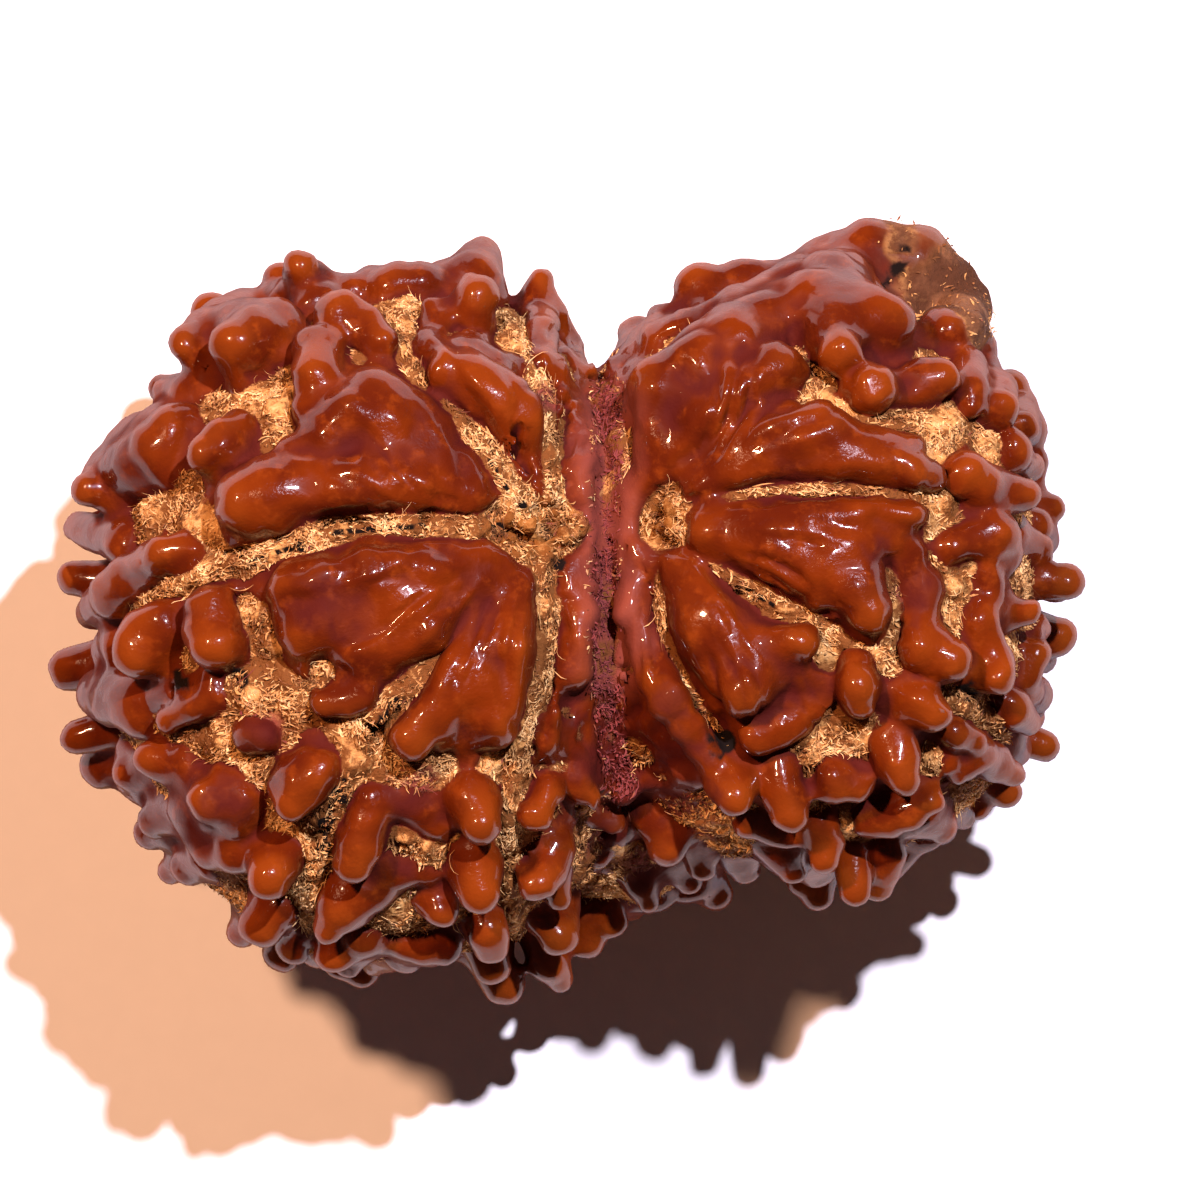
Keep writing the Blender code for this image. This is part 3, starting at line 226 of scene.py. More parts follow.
# Fingers that show past the rim from under it: the tip's x, y, z and half width.
rimFingers = [
    (-13.1, 11.1, 9.5, 0.7), (-18.1, 1.35, 10.5, 0.48), (-18.4, -2.0, 9.5, 0.62),
    (-18.0, -4.5, 10.0, 0.45), (-17.1, -5.6, 8.5, 0.8), (-15.6, -6.2, 8.5, 0.75), (-14.6, -7.6, 8.5, 0.7),
    (-13.4, -9.2, 7.5, 0.62), (-10.5, -12.5, 8.0, 0.62), (-2.25, -13.7, 8.5, 0.65),
    (-8.3, -12.9, 8.3, 0.42), (-7.55, -13.2, 8.0, 0.5), (-0.55, -12.9, 8.8, 0.5),
    (-0.2, -13.5, 8.0, 0.42), (3.3, -10.3, 7.0, 0.6), (4.6, -9.9, 6.5, 0.65), (5.6, -10.4, 5.5, 0.5),
    (0.8, -12.1, 8.0, 0.5), (4.95, 12.05, 11.5, 0.88), (6.4, 12.2, 11.0, 0.85), (7.5, 12.1, 11.0, 0.85),
    (17.2, 6.7, 10.5, 0.45), (18.0, 3.95, 10.5, 0.33), (17.4, 5.6, 10.0, 0.4), (18.2, -0.8, 9.0, 0.6),
    (17.7, -4.9, 10.0, 0.38), (16.3, -6.5, 9.5, 0.45), (15.2, -7.1, 9.0, 0.45), (9.35, -10.4, 8.5, 0.47),
    (8.75, -9.8, 9.0, 0.38), (12.5, -8.8, 9.5, 0.33), (12.15, -9.3, 9.0, 0.3),
]

# Grooves of the upper face: half width, depth, and the points (x, y) that each runs through.
carved = [
    (0.5, 1.15, [(-2.6, 3.1), (-5.0, 3.25), (-7.0, 3.2), (-9.0, 2.8), (-11.0, 2.2), (-14.0, 1.2),
                 (-15.5, 0.6)]),
    (0.5, 1.0, [(-1.9, 4.2), (-2.9, 6.0), (-3.6, 6.6), (-5.2, 8.3), (-5.8, 9.6), (-6.0, 10.9)]),
    (0.4, 1.0, [(-0.5, 4.3), (-0.5, 6.0), (-0.6, 8.0), (-1.5, 9.5), (-2.1, 11.0)]),
    (0.5, 1.15, [(-3.1, 0.2), (-4.0, -0.8), (-6.0, -2.8), (-7.3, -4.6), (-8.7, -7.3), (-9.3, -10.0),
                 (-9.4, -12.0)]),
    (0.42, 1.1, [(-0.8, 1.9), (-0.75, -0.6), (-1.0, -2.5), (-1.7, -4.8), (-2.0, -7.5), (-1.9, -10.5),
                 (-1.7, -12.6)]),
    (0.5, 0.7, [(1.6, 8.2), (1.55, 4.5), (1.4, 0.0), (1.5, -3.0), (2.0, -6.2)]),
    (0.38, 1.0, [(5.0, 4.0), (7.5, 4.5), (10.3, 4.65), (13.8, 4.2)]),
    (0.4, 0.9, [(4.4, 4.9), (5.8, 6.2), (8.1, 7.8), (8.6, 9.7)]),
    (0.38, 0.9, [(8.1, 7.8), (9.6, 8.0), (11.3, 6.9), (13.6, 6.9)]),
    (0.42, 1.0, [(4.9, 2.2), (6.6, 1.0), (8.6, -0.1), (10.9, -1.4), (13.4, -2.8), (15.8, -3.9)]),
    (0.3, 0.9, [(3.4, 1.6), (3.7, -0.6), (4.5, -2.7), (5.9, -4.6)]),
    (0.33, 0.9, [(11.4, 1.7), (12.0, 0.2), (11.8, -1.2)]),
]
seamLine = carved[5][2]
# Pockets between knobs, where the fibrous bed lies bare: x, y, half width.
pockets = [
    (-15.2, 3.7, 0.6), (-13.5, 3.2, 0.7), (-11.3, 0.0, 0.7), (-10.6, -1.0, 0.75), (-11.5, -3.0, 0.9),
    (-8.7, -1.9, 0.5), (-11.4, -5.9, 0.6), (-12.6, -4.6, 0.7), (-10.8, 7.5, 0.8), (-9.9, 8.3, 0.5),
    (-7.5, 9.5, 0.6), (-5.9, 11.5, 0.5), (-4.0, 10.3, 0.5), (-2.2, 10.0, 0.5), (-5.7, -8.0, 0.6),
    (-5.0, -8.5, 0.5), (-6.0, -11.0, 0.6), (-2.7, -5.3, 0.7), (0.8, -7.0, 0.4), (1.5, -7.1, 0.5),
    (0.9, -9.8, 0.5), (2.0, -8.5, 0.5), (14.0, 6.9, 0.7), (15.7, 6.2, 0.6), (14.3, 1.0, 0.45),
    (14.9, 1.8, 0.45), (16.7, 0.8, 0.5), (9.5, -1.4, 0.5), (8.9, -5.3, 0.5), (10.2, -7.7, 0.5),
    (14.9, -3.4, 0.5), (13.5, -5.5, 0.5), (8.9, 8.6, 0.7), (10.3, 7.4, 0.6),
]
# The stem pits: centre (x, y), half lengths, depth.
pits = [((-1.3, 3.1), (1.9, 1.1), 1.5), ((3.85, 3.4), (0.9, 1.3), 1.2)]

# The underside: rows of knobs round each lobe's stem-to-tip axis, between its grooves.
stems = {
    "left": (0.49, 0.25, 0.835),
    "right": (-0.51, 0.22, 0.83),
    "heel": (0.0, 0.35, 0.94),
    "neck": (0.0, 0.1, 1.0),
}
grooveCount = {"left": 9, "right": 8, "heel": 5, "neck": 6}
# Blunt knobs that the bead rests on: x, y, half width. The resting surface cuts them flat.
feet = [(-7.6, -3.6, 1.0), (-6.9, 3.3, 1.0), (8.4, 3.4, 1.0), (7.9, -1.6, 1.0)]

# The rules that all ridges and knobs follow, in millimetres or as shares of the half width given.
growth = {
    "relief": 1.22,           # how much higher a ridge stands than its crest says
    "fuller": 0.22,           # added to every half width
    "crest": 0.85,            # a ridge's crest and foot: how wide they are, and how high the foot sits
    "foot": 1.45,
    "footRise": 0.38,
    "uneven": 0.12,           # how much widths and heights vary by chance
    "fingerRoot": 1.85,
    "ridgeStep": 1.1,         # from one ball of a ridge to the next
    "sink": 0.9,              # how deep a finger's root lies in the ground
    "knobStep": 2.2,          # how far apart the knobs underneath are, and the least between two
    "knobGap": 1.55,
    "knobHalf": (0.65, 1.0),
    "knobCrest": (1.2, 1.75),
    "knobLean": (0.2, 0.9),   # how far a tip leans away from the stem, and its root the other way
    "knobBack": 0.4,
    "knobTip": 0.78,
    "knobRoot": 1.75,
    "scatter": 0.17,
    "grooveShare": 0.12,      # the groove's share of each sector round the stem
    "grooveSpread": 1.3,      # how much wider than given a groove begins to sink
    "below": 0.68,            # knobs by rule wherever the ground's outward z is less
    "footHeight": 0.35,       # of the blunt knobs that it rests on
    "footLength": 2.5,
    "pocketDepth": 0.8,
    "upperAbove": 7.0,        # the upper face begins at this height, and counts in full this much higher
    "upperOver": 1.5,
    "seed": 7,
}

mm = 0.001

# How the fine skin is made. Lengths in millimetres.
skin = {
    "low": (-19.9, -15.4, -0.8),              # the field that the skin is read from, and its spacing
    "high": (19.9, 15.6, 24.4),
    "cell": 0.125,
    "quickCell": 0.24,
    "faces": 192000,          # triangles left after thinning
    "knobBlend": 0.6,         # how softly knobs run into each other
    "boneBlend": 0.15,
    "lobeBlend": 0.5,
    "footBlend": 0.6,         # how softly they rise from the waxy sheet between them
    "sheet": 0.5,             # how thick that sheet is, and how it thins out away from the stem pits
    "thinFrom": 14.0,
    "thinOver": 6.0,
    "thinnest": 0.35,
    "bedBlend": 0.08,
    "wallBlend": 0.2,         # rounding of the edges of bare pockets
    "ragged": ((0.9, 0.2, 31), (0.35, 0.1, 32)),
    "grooveShare": 0.85,      # how much of a groove's and a pit's width is bare
    "pitShare": 1.05,
    "sinkKnobs": 0.35,
    "closedWithin": 8.0,      # the sheet has few gaps this near to a stem pit, and opens beyond that
    "opensOver": 3.0,
    "gapWaves": ((1.5, 1.6, 9), (0.5, 0.6, 10)),     # waves are given by their size, strength and seed
    "swellWaves": ((1.15, 0.75, 12), (0.6, 0.3, 13)),
    "sheetBand": 0.9,         # how far from the ground the sheet and its gaps are worked out
    "rimFrom": 9.0,           # this far from a stem pit a ridge runs from a broad root to a narrow tip
    "tipTaper": 0.78,
    "rootSwell": 1.15,
    "core": 0.12,             # how far inside its own crest a ridge stays whole
    "mat": 0.12,              # how thick dried pulp lies on the ground, in grooves and in all
    "fill": 0.35,
    "mound": 0.25,            # and more where the sheet is open
    "sinkPit": 0.6,           # depth of the stem pits
    "crackDepth": 1.3,
    "holeDepth": 2.6,
    "crackBlend": 0.08,
    "crackRagged": ((0.45, 0.16, 35),),
    "barkFrom": 11.4,         # the trunk's flank is bare from this x on, with a wave in the edge
    "barkWave": (0.8, 0.5, 51),
    "barkEdge": 1.35,         # and out to this share of the trunk's half width
    "lumps": 0.13,            # slow swellings along the knobs
    "lumpWaves": ((1.5, 1, 1), (0.6, 0.5, 2)),
    "bedRelief": 0.15,        # ragged fibres of the bed, and how much rougher the pits are
    "bedWaves": ((0.42, 1, 3), (0.2, 0.7, 4)),
    "pitRelief": 1.5,
    "pitEdge": 1.3,           # how far out a pit still counts, as a share of its half lengths
    "creaseReach": 0.45,      # how far round a point counts when creases and hollows are found
    "hollowReach": 1.3,
}

# Shallow folds of the wax that run out from a stem pit, above and within the heights and lengths given.
folds = {
    "turn": 7.0,              # how close together they are round the pit
    "spacing": 0.85,
    "stretch": 4.0,           # how much longer than wide each is
    "apart": 20.0,            # keeps the folds of the two pits unlike
    "wander": 2.5,
    "above": 9.0,
    "fade": 1.6,
    "reach": 9.0,
    "farLeft": 0.35,          # share of their height that is left far out, and close to the pit
    "clear": 2.2,
    "nearLeft": 0.15,
    "height": 0.3,
}


def ground(points):  # how far points are outside the bare ground of all lobes
    nearest = np.full(len(points), 1e9)
    for lobe in lobes.values():
        power, half = lobe["square"], np.array(lobe["half"])
        share = np.abs(points - np.array(lobe["centre"])) / half
        size = np.maximum((share**power).sum(1) ** (1 / power), 1e-6)
        slope = size ** (1 - power) * np.linalg.norm(share ** (power - 1) / half, axis=1)
        nearest = np.minimum(nearest, (size - 1) / np.maximum(slope, 1e-6))
    return nearest


def outward(point):  # the way out of the ground
    step = 0.02
    probes = np.array([point + axis * step * side for axis in np.eye(3) for side in (1, -1)])
    far = ground(probes)
    slope = far[0::2] - far[1::2]
    return slope / np.linalg.norm(slope)


def settle(x, y, height):  # the point over x, y that is height above the upper face
    column = np.arange(26.0, 2.0, -0.04)
    points = np.stack([np.full_like(column, x), np.full_like(column, y), column], 1)
    far = ground(points)
    inside = np.nonzero(far <= height)[0]
    return points[inside[0] if len(inside) else far.argmin()]


def crestAndFoot(x, y, half, crest):  # two balls of a ridge: its crest, and under that the wider foot
    height = growth["relief"] * crest
    crestHalf, footHalf = (growth[name] * half + growth["fuller"] for name in ("crest", "foot"))
    top = settle(x, y, height - crestHalf)
    down = ground(top[None])[0] - growth["footRise"] * height + footHalf
    return (top, crestHalf), (top - outward(top) * down, footHalf)


def stepsAlong(line, step):  # each length of a line cut into steps, both of its ends included
    for start, end in zip(np.array(line), np.array(line)[1:]):
        parts = max(1, math.ceil(np.linalg.norm(end[:2] - start[:2]) / step))
        yield [start + (end - start) * share for share in np.arange(parts + 1) / parts]


def ridgeRuns(ridges):
    rng = random.Random(growth["seed"])
    uneven = growth["uneven"]
    runs = []
    for ridge in ridges:
        run = [place for length in stepsAlong(ridge, growth["ridgeStep"]) for place in length[:-1]]
        run.append(ridge[-1])
        balls = []
        for k, (x, y, half, crest) in enumerate(run):
            half *= 1 + rng.uniform(-uneven, uneven)
            fromPit = min(math.hypot(x - px, y - py) for (px, py), reach, depth in pits)
            if fromPit > skin["rimFrom"]:
                half *= skin["tipTaper"] if k and k == len(run) - 1 else skin["rootSwell"]
            crest *= 1 + rng.uniform(-uneven, uneven)
            balls.append(crestAndFoot(x, y, half, crest))
        runs.append(balls)
    return runs


def fingerRuns():  # knobs past the rim, each from its tip back into the ground
    runs = []
    for x, y, z, half in rimFingers:
        tip = np.array([x, y, z])
        root = tip - outward(tip) * (ground(tip[None])[0] + growth["sink"] * half)
        tipHalf, rootHalf = (growth[name] * half + growth["fuller"] for name in ("crest", "fingerRoot"))
        runs.append([((tip, tipHalf), (root, rootHalf))])
    return runs


def feetRuns():
    runs = []
    for x, y, half in feet:
        tip = np.array([x, y, growth["footHeight"]])
        runs.append([((tip, half), (tip + np.array([0, 0, growth["footLength"]]), half))])
    return runs


def surfacePoint(lobe, way):  # where a line from the lobe's centre meets its ground
    share = np.abs(way) / np.array(lobe["half"])
    power = lobe["square"]
    return np.array(lobe["centre"]) + way / (share**power).sum() ** (1 / power)


def awayFrom(axis, normal):  # along the surface, away from the stem
    along = -np.array(axis) + normal * np.dot(np.array(axis), normal)
    size = np.linalg.norm(along)
    return along / size if size > 1e-6 else along


def undersideRuns(made):  # rows of knobs between each lobe's grooves, wherever there are none yet
    rng = random.Random(growth["seed"])
    scatter, grooveShare = growth["scatter"], growth["grooveShare"]
    taken = [top for run in made for (top, half), foot in run]
    runs = []
    for name, stem in stems.items():
        axis = Vector(stem).normalized()
        side = axis.orthogonal().normalized()
        lobe = lobes[name]
        reach = sum(lobe["half"]) / 3
        rows = int(math.pi * reach / growth["knobStep"])
        for row in range(2, rows):
            fromStem = math.pi * row / rows
            sector = 2 * math.pi / grooveCount[name]
            inSector = max(1, round(sector * reach * math.sin(fromStem) / growth["knobStep"]))
            for k in range(grooveCount[name] * inSector):
                place = (k % inSector + 0.5 + rng.uniform(-scatter, scatter)) / inSector
                turn = sector * (k // inSector + grooveShare / 2 + (1 - grooveShare) * place)
                tilt = fromStem + rng.uniform(-2 * scatter, 2 * scatter) / rows
                way = Matrix.Rotation(turn, 3, axis) @ side
                way = axis * math.cos(tilt) + way * math.sin(tilt)
                half = rng.uniform(*growth["knobHalf"])
                crest = rng.uniform(*growth["knobCrest"])
                lean = rng.uniform(*growth["knobLean"])
                point = surfacePoint(lobe, np.array(way))
                normal = outward(point)
                if normal[2] > growth["below"] or ground(point[None])[0] < -0.05:
                    continue
                along = awayFrom(axis, normal)
                tip = point + normal * (crest - half) + along * lean
                if min(np.linalg.norm(tip - other) for other in taken) < growth["knobGap"]:
                    continue
                taken.append(tip)
                root = point - (along + normal) * growth["knobBack"]
                runs.append([((tip, growth["knobTip"] * half), (root, growth["knobRoot"] * half))])
    return runs


def smoothMin(a, b, blend):
    meet = np.maximum(blend - np.abs(a - b), 0) / blend
    return np.minimum(a, b) - meet * meet * blend / 4


def smoothMax(a, b, blend):
    return -smoothMin(-a, -b, blend)


def distanceToLine(x, y, line):
    nearest = np.full(np.broadcast(x, y).shape, 1e9)
    for start, end in zip(np.array(line), np.array(line)[1:]):
        way = end - start
        share = (((x - start[0]) * way[0] + (y - start[1]) * way[1]) / (way @ way)).clip(0, 1)
        nearest = np.minimum(nearest, np.hypot(x - start[0] - share * way[0], y - start[1] - share * way[1]))
    return nearest


class Field:  # distances on a regular grid, in millimetres
    def __init__(self, low, high, cell):
        self.low, self.cell = np.array(low), cell
        self.axes = [np.arange(a, b, cell, dtype=np.float32) for a, b in zip(low, high)]
        self.shape = tuple(len(axis) for axis in self.axes)

    def blank(self):  # farther off than any blend reaches
        return np.full(self.shape, 3.0, np.float32)

    def grid(self, box=(slice(None),) * 3):
        x, y, z = (axis[part] for axis, part in zip(self.axes, box))
        return x[:, None, None], y[None, :, None], z[None, None, :]

    def boxRound(self, points, reach):
        low, high = np.min(points, 0) - reach, np.max(points, 0) + reach
        ends = [
            (max(0, int((a - o) / self.cell)), min(n, int((b - o) / self.cell) + 2))
            for a, b, o, n in zip(low, high, self.low, self.shape)
        ]
        return tuple(slice(a, b) for a, b in ends)

    def groundDistance(self):
        nearest = None
        for lobe in lobes.values():
            power = lobe["square"]
            total, slope = 0, 0
            for axis, centre, half in zip(self.grid(), lobe["centre"], lobe["half"]):
                share = np.abs(axis - centre) / half
                total = total + share**power
                slope = slope + (share ** (power - 1) / half) ** 2
            size = np.maximum(total, 1e-6) ** (1 / power)
            far = (size - 1) * size ** (power - 1) / np.sqrt(np.maximum(slope, 1e-9))
            nearest = far if nearest is None else smoothMin(nearest, far, skin["lobeBlend"])
        return nearest.astype(np.float32)

    def addRuns(self, values, runs):
        for run in runs:
            balls = [ball for pair in run for ball in pair]
            widest = max(half for point, half in balls)
            box = self.boxRound(np.array([point for point, half in balls]), widest + skin["knobBlend"])
            x, y, z = self.grid(box)
            bones = list(run)
            for (top, foot), (nextTop, nextFoot) in zip(run, run[1:]):
                bones += [(top, nextTop), (foot, nextFoot)]
            near = None
            for (start, startHalf), (end, endHalf) in bones:
                way = end - start
                share = (x - start[0]) * way[0] + (y - start[1]) * way[1] + (z - start[2]) * way[2]
                share = (share / max(way @ way, 1e-9)).clip(0, 1)
                far = np.sqrt(
                    (x - start[0] - share * way[0]) ** 2
                    + (y - start[1] - share * way[1]) ** 2
                    + (z - start[2] - share * way[2]) ** 2
                ) - (startHalf + (endHalf - startHalf) * share)
                near = far if near is None else smoothMin(near, far, skin["boneBlend"])
            values[box] = smoothMin(values[box], near.astype(np.float32), skin["knobBlend"])

    def at(self, values, points):  # values read between grid points
        place = (points - self.low) / self.cell
        index = np.floor(place).astype(int).clip(0, np.array(self.shape) - 2)
        part = (place - index).clip(0, 1)
        result = np.zeros(len(points))
        for corner in range(8):
            step = np.array([corner & 1, corner >> 1 & 1, corner >> 2 & 1])
            share = np.prod(np.where(step, part, 1 - part), 1)
            i, j, k = (index + step).T
            result += share * values[i, j, k]
        return result

    def slopeAt(self, values, points):
        step = 0.6 * self.cell
        ways = np.eye(3) * step
        sides = [self.at(values, points + way) - self.at(values, points - way) for way in ways]
        return np.stack(sides, 1) / (2 * step)


def skinOf(field, values):  # corners and four-sided faces of the surface where values are nought
    inside = values < 0
    count = np.zeros(np.array(field.shape) - 1, np.int8)
    steps = [(a, b, c) for a in (0, 1) for b in (0, 1) for c in (0, 1)]
    nx, ny, nz = count.shape
    for a, b, c in steps:
        count += inside[a:a + nx, b:b + ny, c:c + nz]
    cells = np.argwhere((count > 0) & (count < 8))
    number = np.full(count.shape, -1, np.int32)
    number[tuple(cells.T)] = np.arange(len(cells))
    corner = {step: values[tuple((cells + step).T)] for step in steps}
    total, hits = np.zeros((len(cells), 3)), np.zeros(len(cells))
    for step in steps:
        for axis in range(3):
            if step[axis]:
                continue
            other = tuple(1 if k == axis else step[k] for k in range(3))
            a, b = corner[step], corner[other]
            cross = (a < 0) != (b < 0)
            share = np.where(cross, a / np.where(cross, a - b, 1), 0)
            point = np.array(step, float)[None] + share[:, None] * np.eye(3)[axis]
            total += point * cross[:, None]
            hits += cross
    points = field.low + (cells + total / hits[:, None]) * field.cell
    faces = []
    for axis in range(3):
        first, second = np.eye(3, dtype=int)[(axis + 1) % 3], np.eye(3, dtype=int)[(axis + 2) % 3]
        near = inside[tuple(slice(None, -1) if k == axis else slice(None) for k in range(3))]
        far = inside[tuple(slice(1, None) if k == axis else slice(None) for k in range(3))]
        for rising in (True, False):
            edges = np.argwhere((near & ~far) if rising else (~near & far))
            edges = edges[(edges[:, (axis + 1) % 3] > 0) & (edges[:, (axis + 2) % 3] > 0)]
            ring = [edges - first - second, edges - second, edges, edges - first]
            if not rising:
                ring.reverse()
            faces.append(np.stack([number[tuple(cell.T)] for cell in ring], 1))
    return points, np.concatenate(faces)


def valueNoise(points, size, seed):
    lattice = np.random.default_rng(seed).uniform(-1, 1, (32, 32, 32))
    place = points / size
    index = np.floor(place).astype(int)
    part = place - index
    part = part * part * (3 - 2 * part)
    result = np.zeros(len(points))
    for corner in range(8):
        step = np.array([corner & 1, corner >> 1 & 1, corner >> 2 & 1])
        share = np.prod(np.where(step, part, 1 - part), 1)
        i, j, k = ((index + step) % 32).T
        result += share * lattice[i, j, k]
    return result


def waves(points, layers, start=0):  # layers of noise, each given as its size, strength and seed
    for size, strength, seed in layers:
        start = start + valueNoise(points, size, seed) * strength
    return start


def boxBlur(values, reach):  # mean over a cube that reaches so many cells each way
    for axis in range(3):
        count = values.shape[axis]
        total = np.cumsum(values, axis=axis, dtype=np.float32)
        low = np.clip(np.arange(count) - reach - 1, 0, count - 1)
        high = np.clip(np.arange(count) + reach, 0, count - 1)
        values = (np.take(total, high, axis) - np.take(total, low, axis)) / (2 * reach + 1)
    return values


def meshFrom(name, points, faces):
    data = bpy.data.meshes.new(name)
    sides = faces.shape[1]
    data.vertices.add(len(points))
    data.vertices.foreach_set("co", np.ascontiguousarray(points, np.float32).ravel())
    data.loops.add(faces.size)
    data.loops.foreach_set("vertex_index", np.ascontiguousarray(faces, np.int32).ravel())
    data.polygons.add(len(faces))
    data.polygons.foreach_set("loop_start", np.arange(0, faces.size, sides, dtype=np.int32))
    data.update(calc_edges=True)
    data.validate()
    return data


def coordinates(data):
    points = np.empty(3 * len(data.vertices), np.float32)
    data.vertices.foreach_get("co", points)
    return points.reshape(-1, 3).astype(float)


def addObject(name, data, material=None):
    obj = bpy.data.objects.new(name, data)
    bpy.context.scene.collection.objects.link(obj)
    if material:
        data.materials.append(material)
    return obj


def thinned(data, share):  # fewer triangles, most of them where the surface bends
    obj = addObject("thinning", data)
    thin = obj.modifiers.new("fewer faces", "DECIMATE")
    thin.ratio = share
    thin.use_collapse_triangulate = True
    graph = bpy.context.evaluated_depsgraph_get()
    result = bpy.data.meshes.new_from_object(obj.evaluated_get(graph))
    bpy.data.objects.remove(obj)
    return result


def keepMask(data, name, values):
    layer = data.attributes.new(name, "FLOAT", "POINT")
    layer.data.foreach_set("value", np.ascontiguousarray(values, np.float32))


def maskOf(data, name):
    values = np.empty(len(data.vertices), np.float32)
    data.attributes[name].data.foreach_get("value", values)
    return values


# Places on the upper face that are painted otherwise, as (x, y, half width), read from above: maroon is the
# stone's own colour, dark is painted shade in holes, cracks, groove ends and the trunk's notch, partly dark
# stains.
spots = {
    "maroon": [
        (-8.5, 0.3, 1.2), (-12.4, -6.8, 1.0), (-11.0, -4.2, 0.8), (-5.5, -6.5, 0.9), (-5.8, -9.1, 0.7),
        (1.5, -4.0, 1.0), (1.2, -5.3, 1.0), (2.6, -6.6, 0.9), (1.5, -8.0, 0.9), (3.0, -9.3, 0.8),
        (12.8, 0.8, 0.9), (11.5, 2.5, 0.6), (-0.6, 8.0, 0.7), (1.6, 7.5, 0.8), (1.6, 5.5, 0.8),
        (1.5, 3.5, 0.8), (1.5, 1.5, 0.8), (1.5, -0.5, 0.8), (1.6, -2.5, 0.8), (4.2, -5.0, 1.2),
        (4.6, -7.0, 1.3), (3.7, -3.4, 0.7),
    ],
    # painted shade, black, in holes, cracks, groove ends and the trunk's notch, partly dark stains
    "dark": [
        (5.7, -4.7, 0.65), (14.7, -2.8, 0.6), (-14.0, -2.4, 0.5), (-11.8, -2.3, 0.5), (-6.1, -3.2, 0.35),
        (-6.6, -3.9, 0.35), (-8.2, -6.5, 0.4), (-8.7, -7.5, 0.4), (-8.8, -8.5, 0.4), (12.5, 13.3, 0.4),
        (12.25, 12.85, 0.5), (12.0, 12.3, 0.4), (-0.7, 3.0, 0.3), (-2.4, 3.1, 0.3), (-1.4, 4.0, 0.3),
        (-0.3, 1.9, 0.3), (-9.5, 2.5, 0.3), (-11.2, 1.95, 0.3),
    ],
}
# Small dark holes in the stem pits and grooves: x, y, half width.
holes = [
    (-0.7, 3.0, 0.34), (-2.4, 3.1, 0.26), (-1.4, 4.0, 0.22), (-0.3, 1.9, 0.2), (-0.2, 2.6, 0.22),
    (-1.7, 2.6, 0.16), (3.5, 4.0, 0.16), (3.9, 2.6, 0.2), (4.2, 3.5, 0.16), (-14.0, -2.4, 0.3),
    (-11.8, -2.3, 0.2), (-6.9, -3.4, 0.15),
]
# Chips of dried tissue that lie on the bed: x, y, half width, and how high they lie.
chips = [
    [(-0.65, 2.55, 0.16, 0.2), (0.05, 2.85, 0.24, 0.45), (0.55, 3.35, 0.18, 0.6)],
    [(-2.0, 3.6, 0.16, 0.2), (-1.3, 3.35, 0.2, 0.35)],
    [(-2.2, 2.5, 0.14, 0.25), (-1.5, 2.2, 0.18, 0.35)],
    [(2.1, 6.4, 0.3, 0.2), (2.25, 5.3, 0.34, 0.25)],
    [(3.6, 3.2, 0.2, 0.2), (4.1, 3.0, 0.16, 0.3)],
    [(3.9, 4.1, 0.18, 0.2), (4.3, 3.9, 0.14, 0.3)],
]
# The dull shoulders on both sides of the seam.
dusty = {"line": [(1.7, 7.5), (1.6, 3.0), (1.7, -1.5)], "half": 1.2}
# Cracks along the grooves, cut into the bed and painted black along them as painted shade: half width, and
# points (x, y).
cracks = [
    (0.13, [(-8.4, 2.98), (-6.9, 3.12), (-5.1, 3.22)]),
    (0.11, [(-11.4, 1.95), (-10.2, 2.35), (-9.4, 2.55)]),
    (0.12, [(-8.0, -6.0), (-8.5, -7.0), (-8.8, -8.6)]),
    (0.1, [(-6.8, -4.0), (-6.1, -3.1)]),
    (0.1, [(6.6, 0.95), (7.6, 0.35)]),
    (0.12, [(-2.1, 4.6), (-2.7, 5.6)]),
]
# How pockets, grooves and pits are cut out of the wax, and cracks and holes into the bed.
cuts = {
    "step": 0.5,
    "sunk": 0.3,              # how far into the ground a cut reaches, and how far out
    "tall": 4.5,
    "floor": 0.95,            # its width down there and at the top, as shares of the width given
    "mouth": 1.25,
    "upright": 0.5,           # none where the ground's outward z is less
    "crackStep": 0.3,
    "crackTall": 3,
    "crackMouth": 1.4,
    "crackEdge": 1.4,         # painted shade, black, as far out as this share of the crack's width
}


def bareRuns():  # what is cut out of knobs and sheet: each pocket, groove and pit, straight out of the ground
    lines = [[(x, y, half), (x, y, half)] for x, y, half in pockets]
    for half, depth, line in carved:
        if line is not seamLine:
            lines.append([(x, y, skin["grooveShare"] * half) for x, y in line])
    for (x, y), (halfX, halfY), depth in pits:
        half = skin["pitShare"] * min(halfX, halfY)
        reach = np.array([halfX, halfY]) - min(halfX, halfY)
        lines.append([(x - reach[0], y - reach[1], half), (x + reach[0], y + reach[1], half)])
    runs = []
    for line in lines:
        run = []
        for x, y, half in (place for length in stepsAlong(line, cuts["step"]) for place in length):
            foot = settle(x, y, -cuts["sunk"])
            if outward(foot)[2] >= cuts["upright"]:
                mouth = foot + outward(foot) * cuts["tall"]
                run.append(((mouth, half * cuts["mouth"]), (foot, half * cuts["floor"])))
        if run:
            runs.append(run)
    return runs


def crackRuns():  # slits and small holes cut into the bed
    lines = [(skin["crackDepth"], [(x, y, half) for x, y in line]) for half, line in cracks]
    lines += [(skin["holeDepth"], [hole, hole]) for hole in holes]
    runs = []
    for depth, line in lines:
        run = []
        for x, y, half in (place for length in stepsAlong(line, cuts["crackStep"]) for place in length):
            foot = settle(x, y, -depth)
            mouth = foot + outward(foot) * cuts["crackTall"]
            run.append(((mouth, half * cuts["crackMouth"]), (foot, half)))
        runs.append(run)
    return runs


def pitShare(points):  # how far points are from the nearer stem pit in plan, as a share of its half lengths
    shares = [np.linalg.norm((points[:, :2] - centre) / half, axis=1) for centre, half, depth in pits]
    return np.min(shares, 0)


def nearPit(points):  # 1 in a stem pit, nought a little way past its edge
    return (skin["pitEdge"] - pitShare(points)).clip(0, 1)


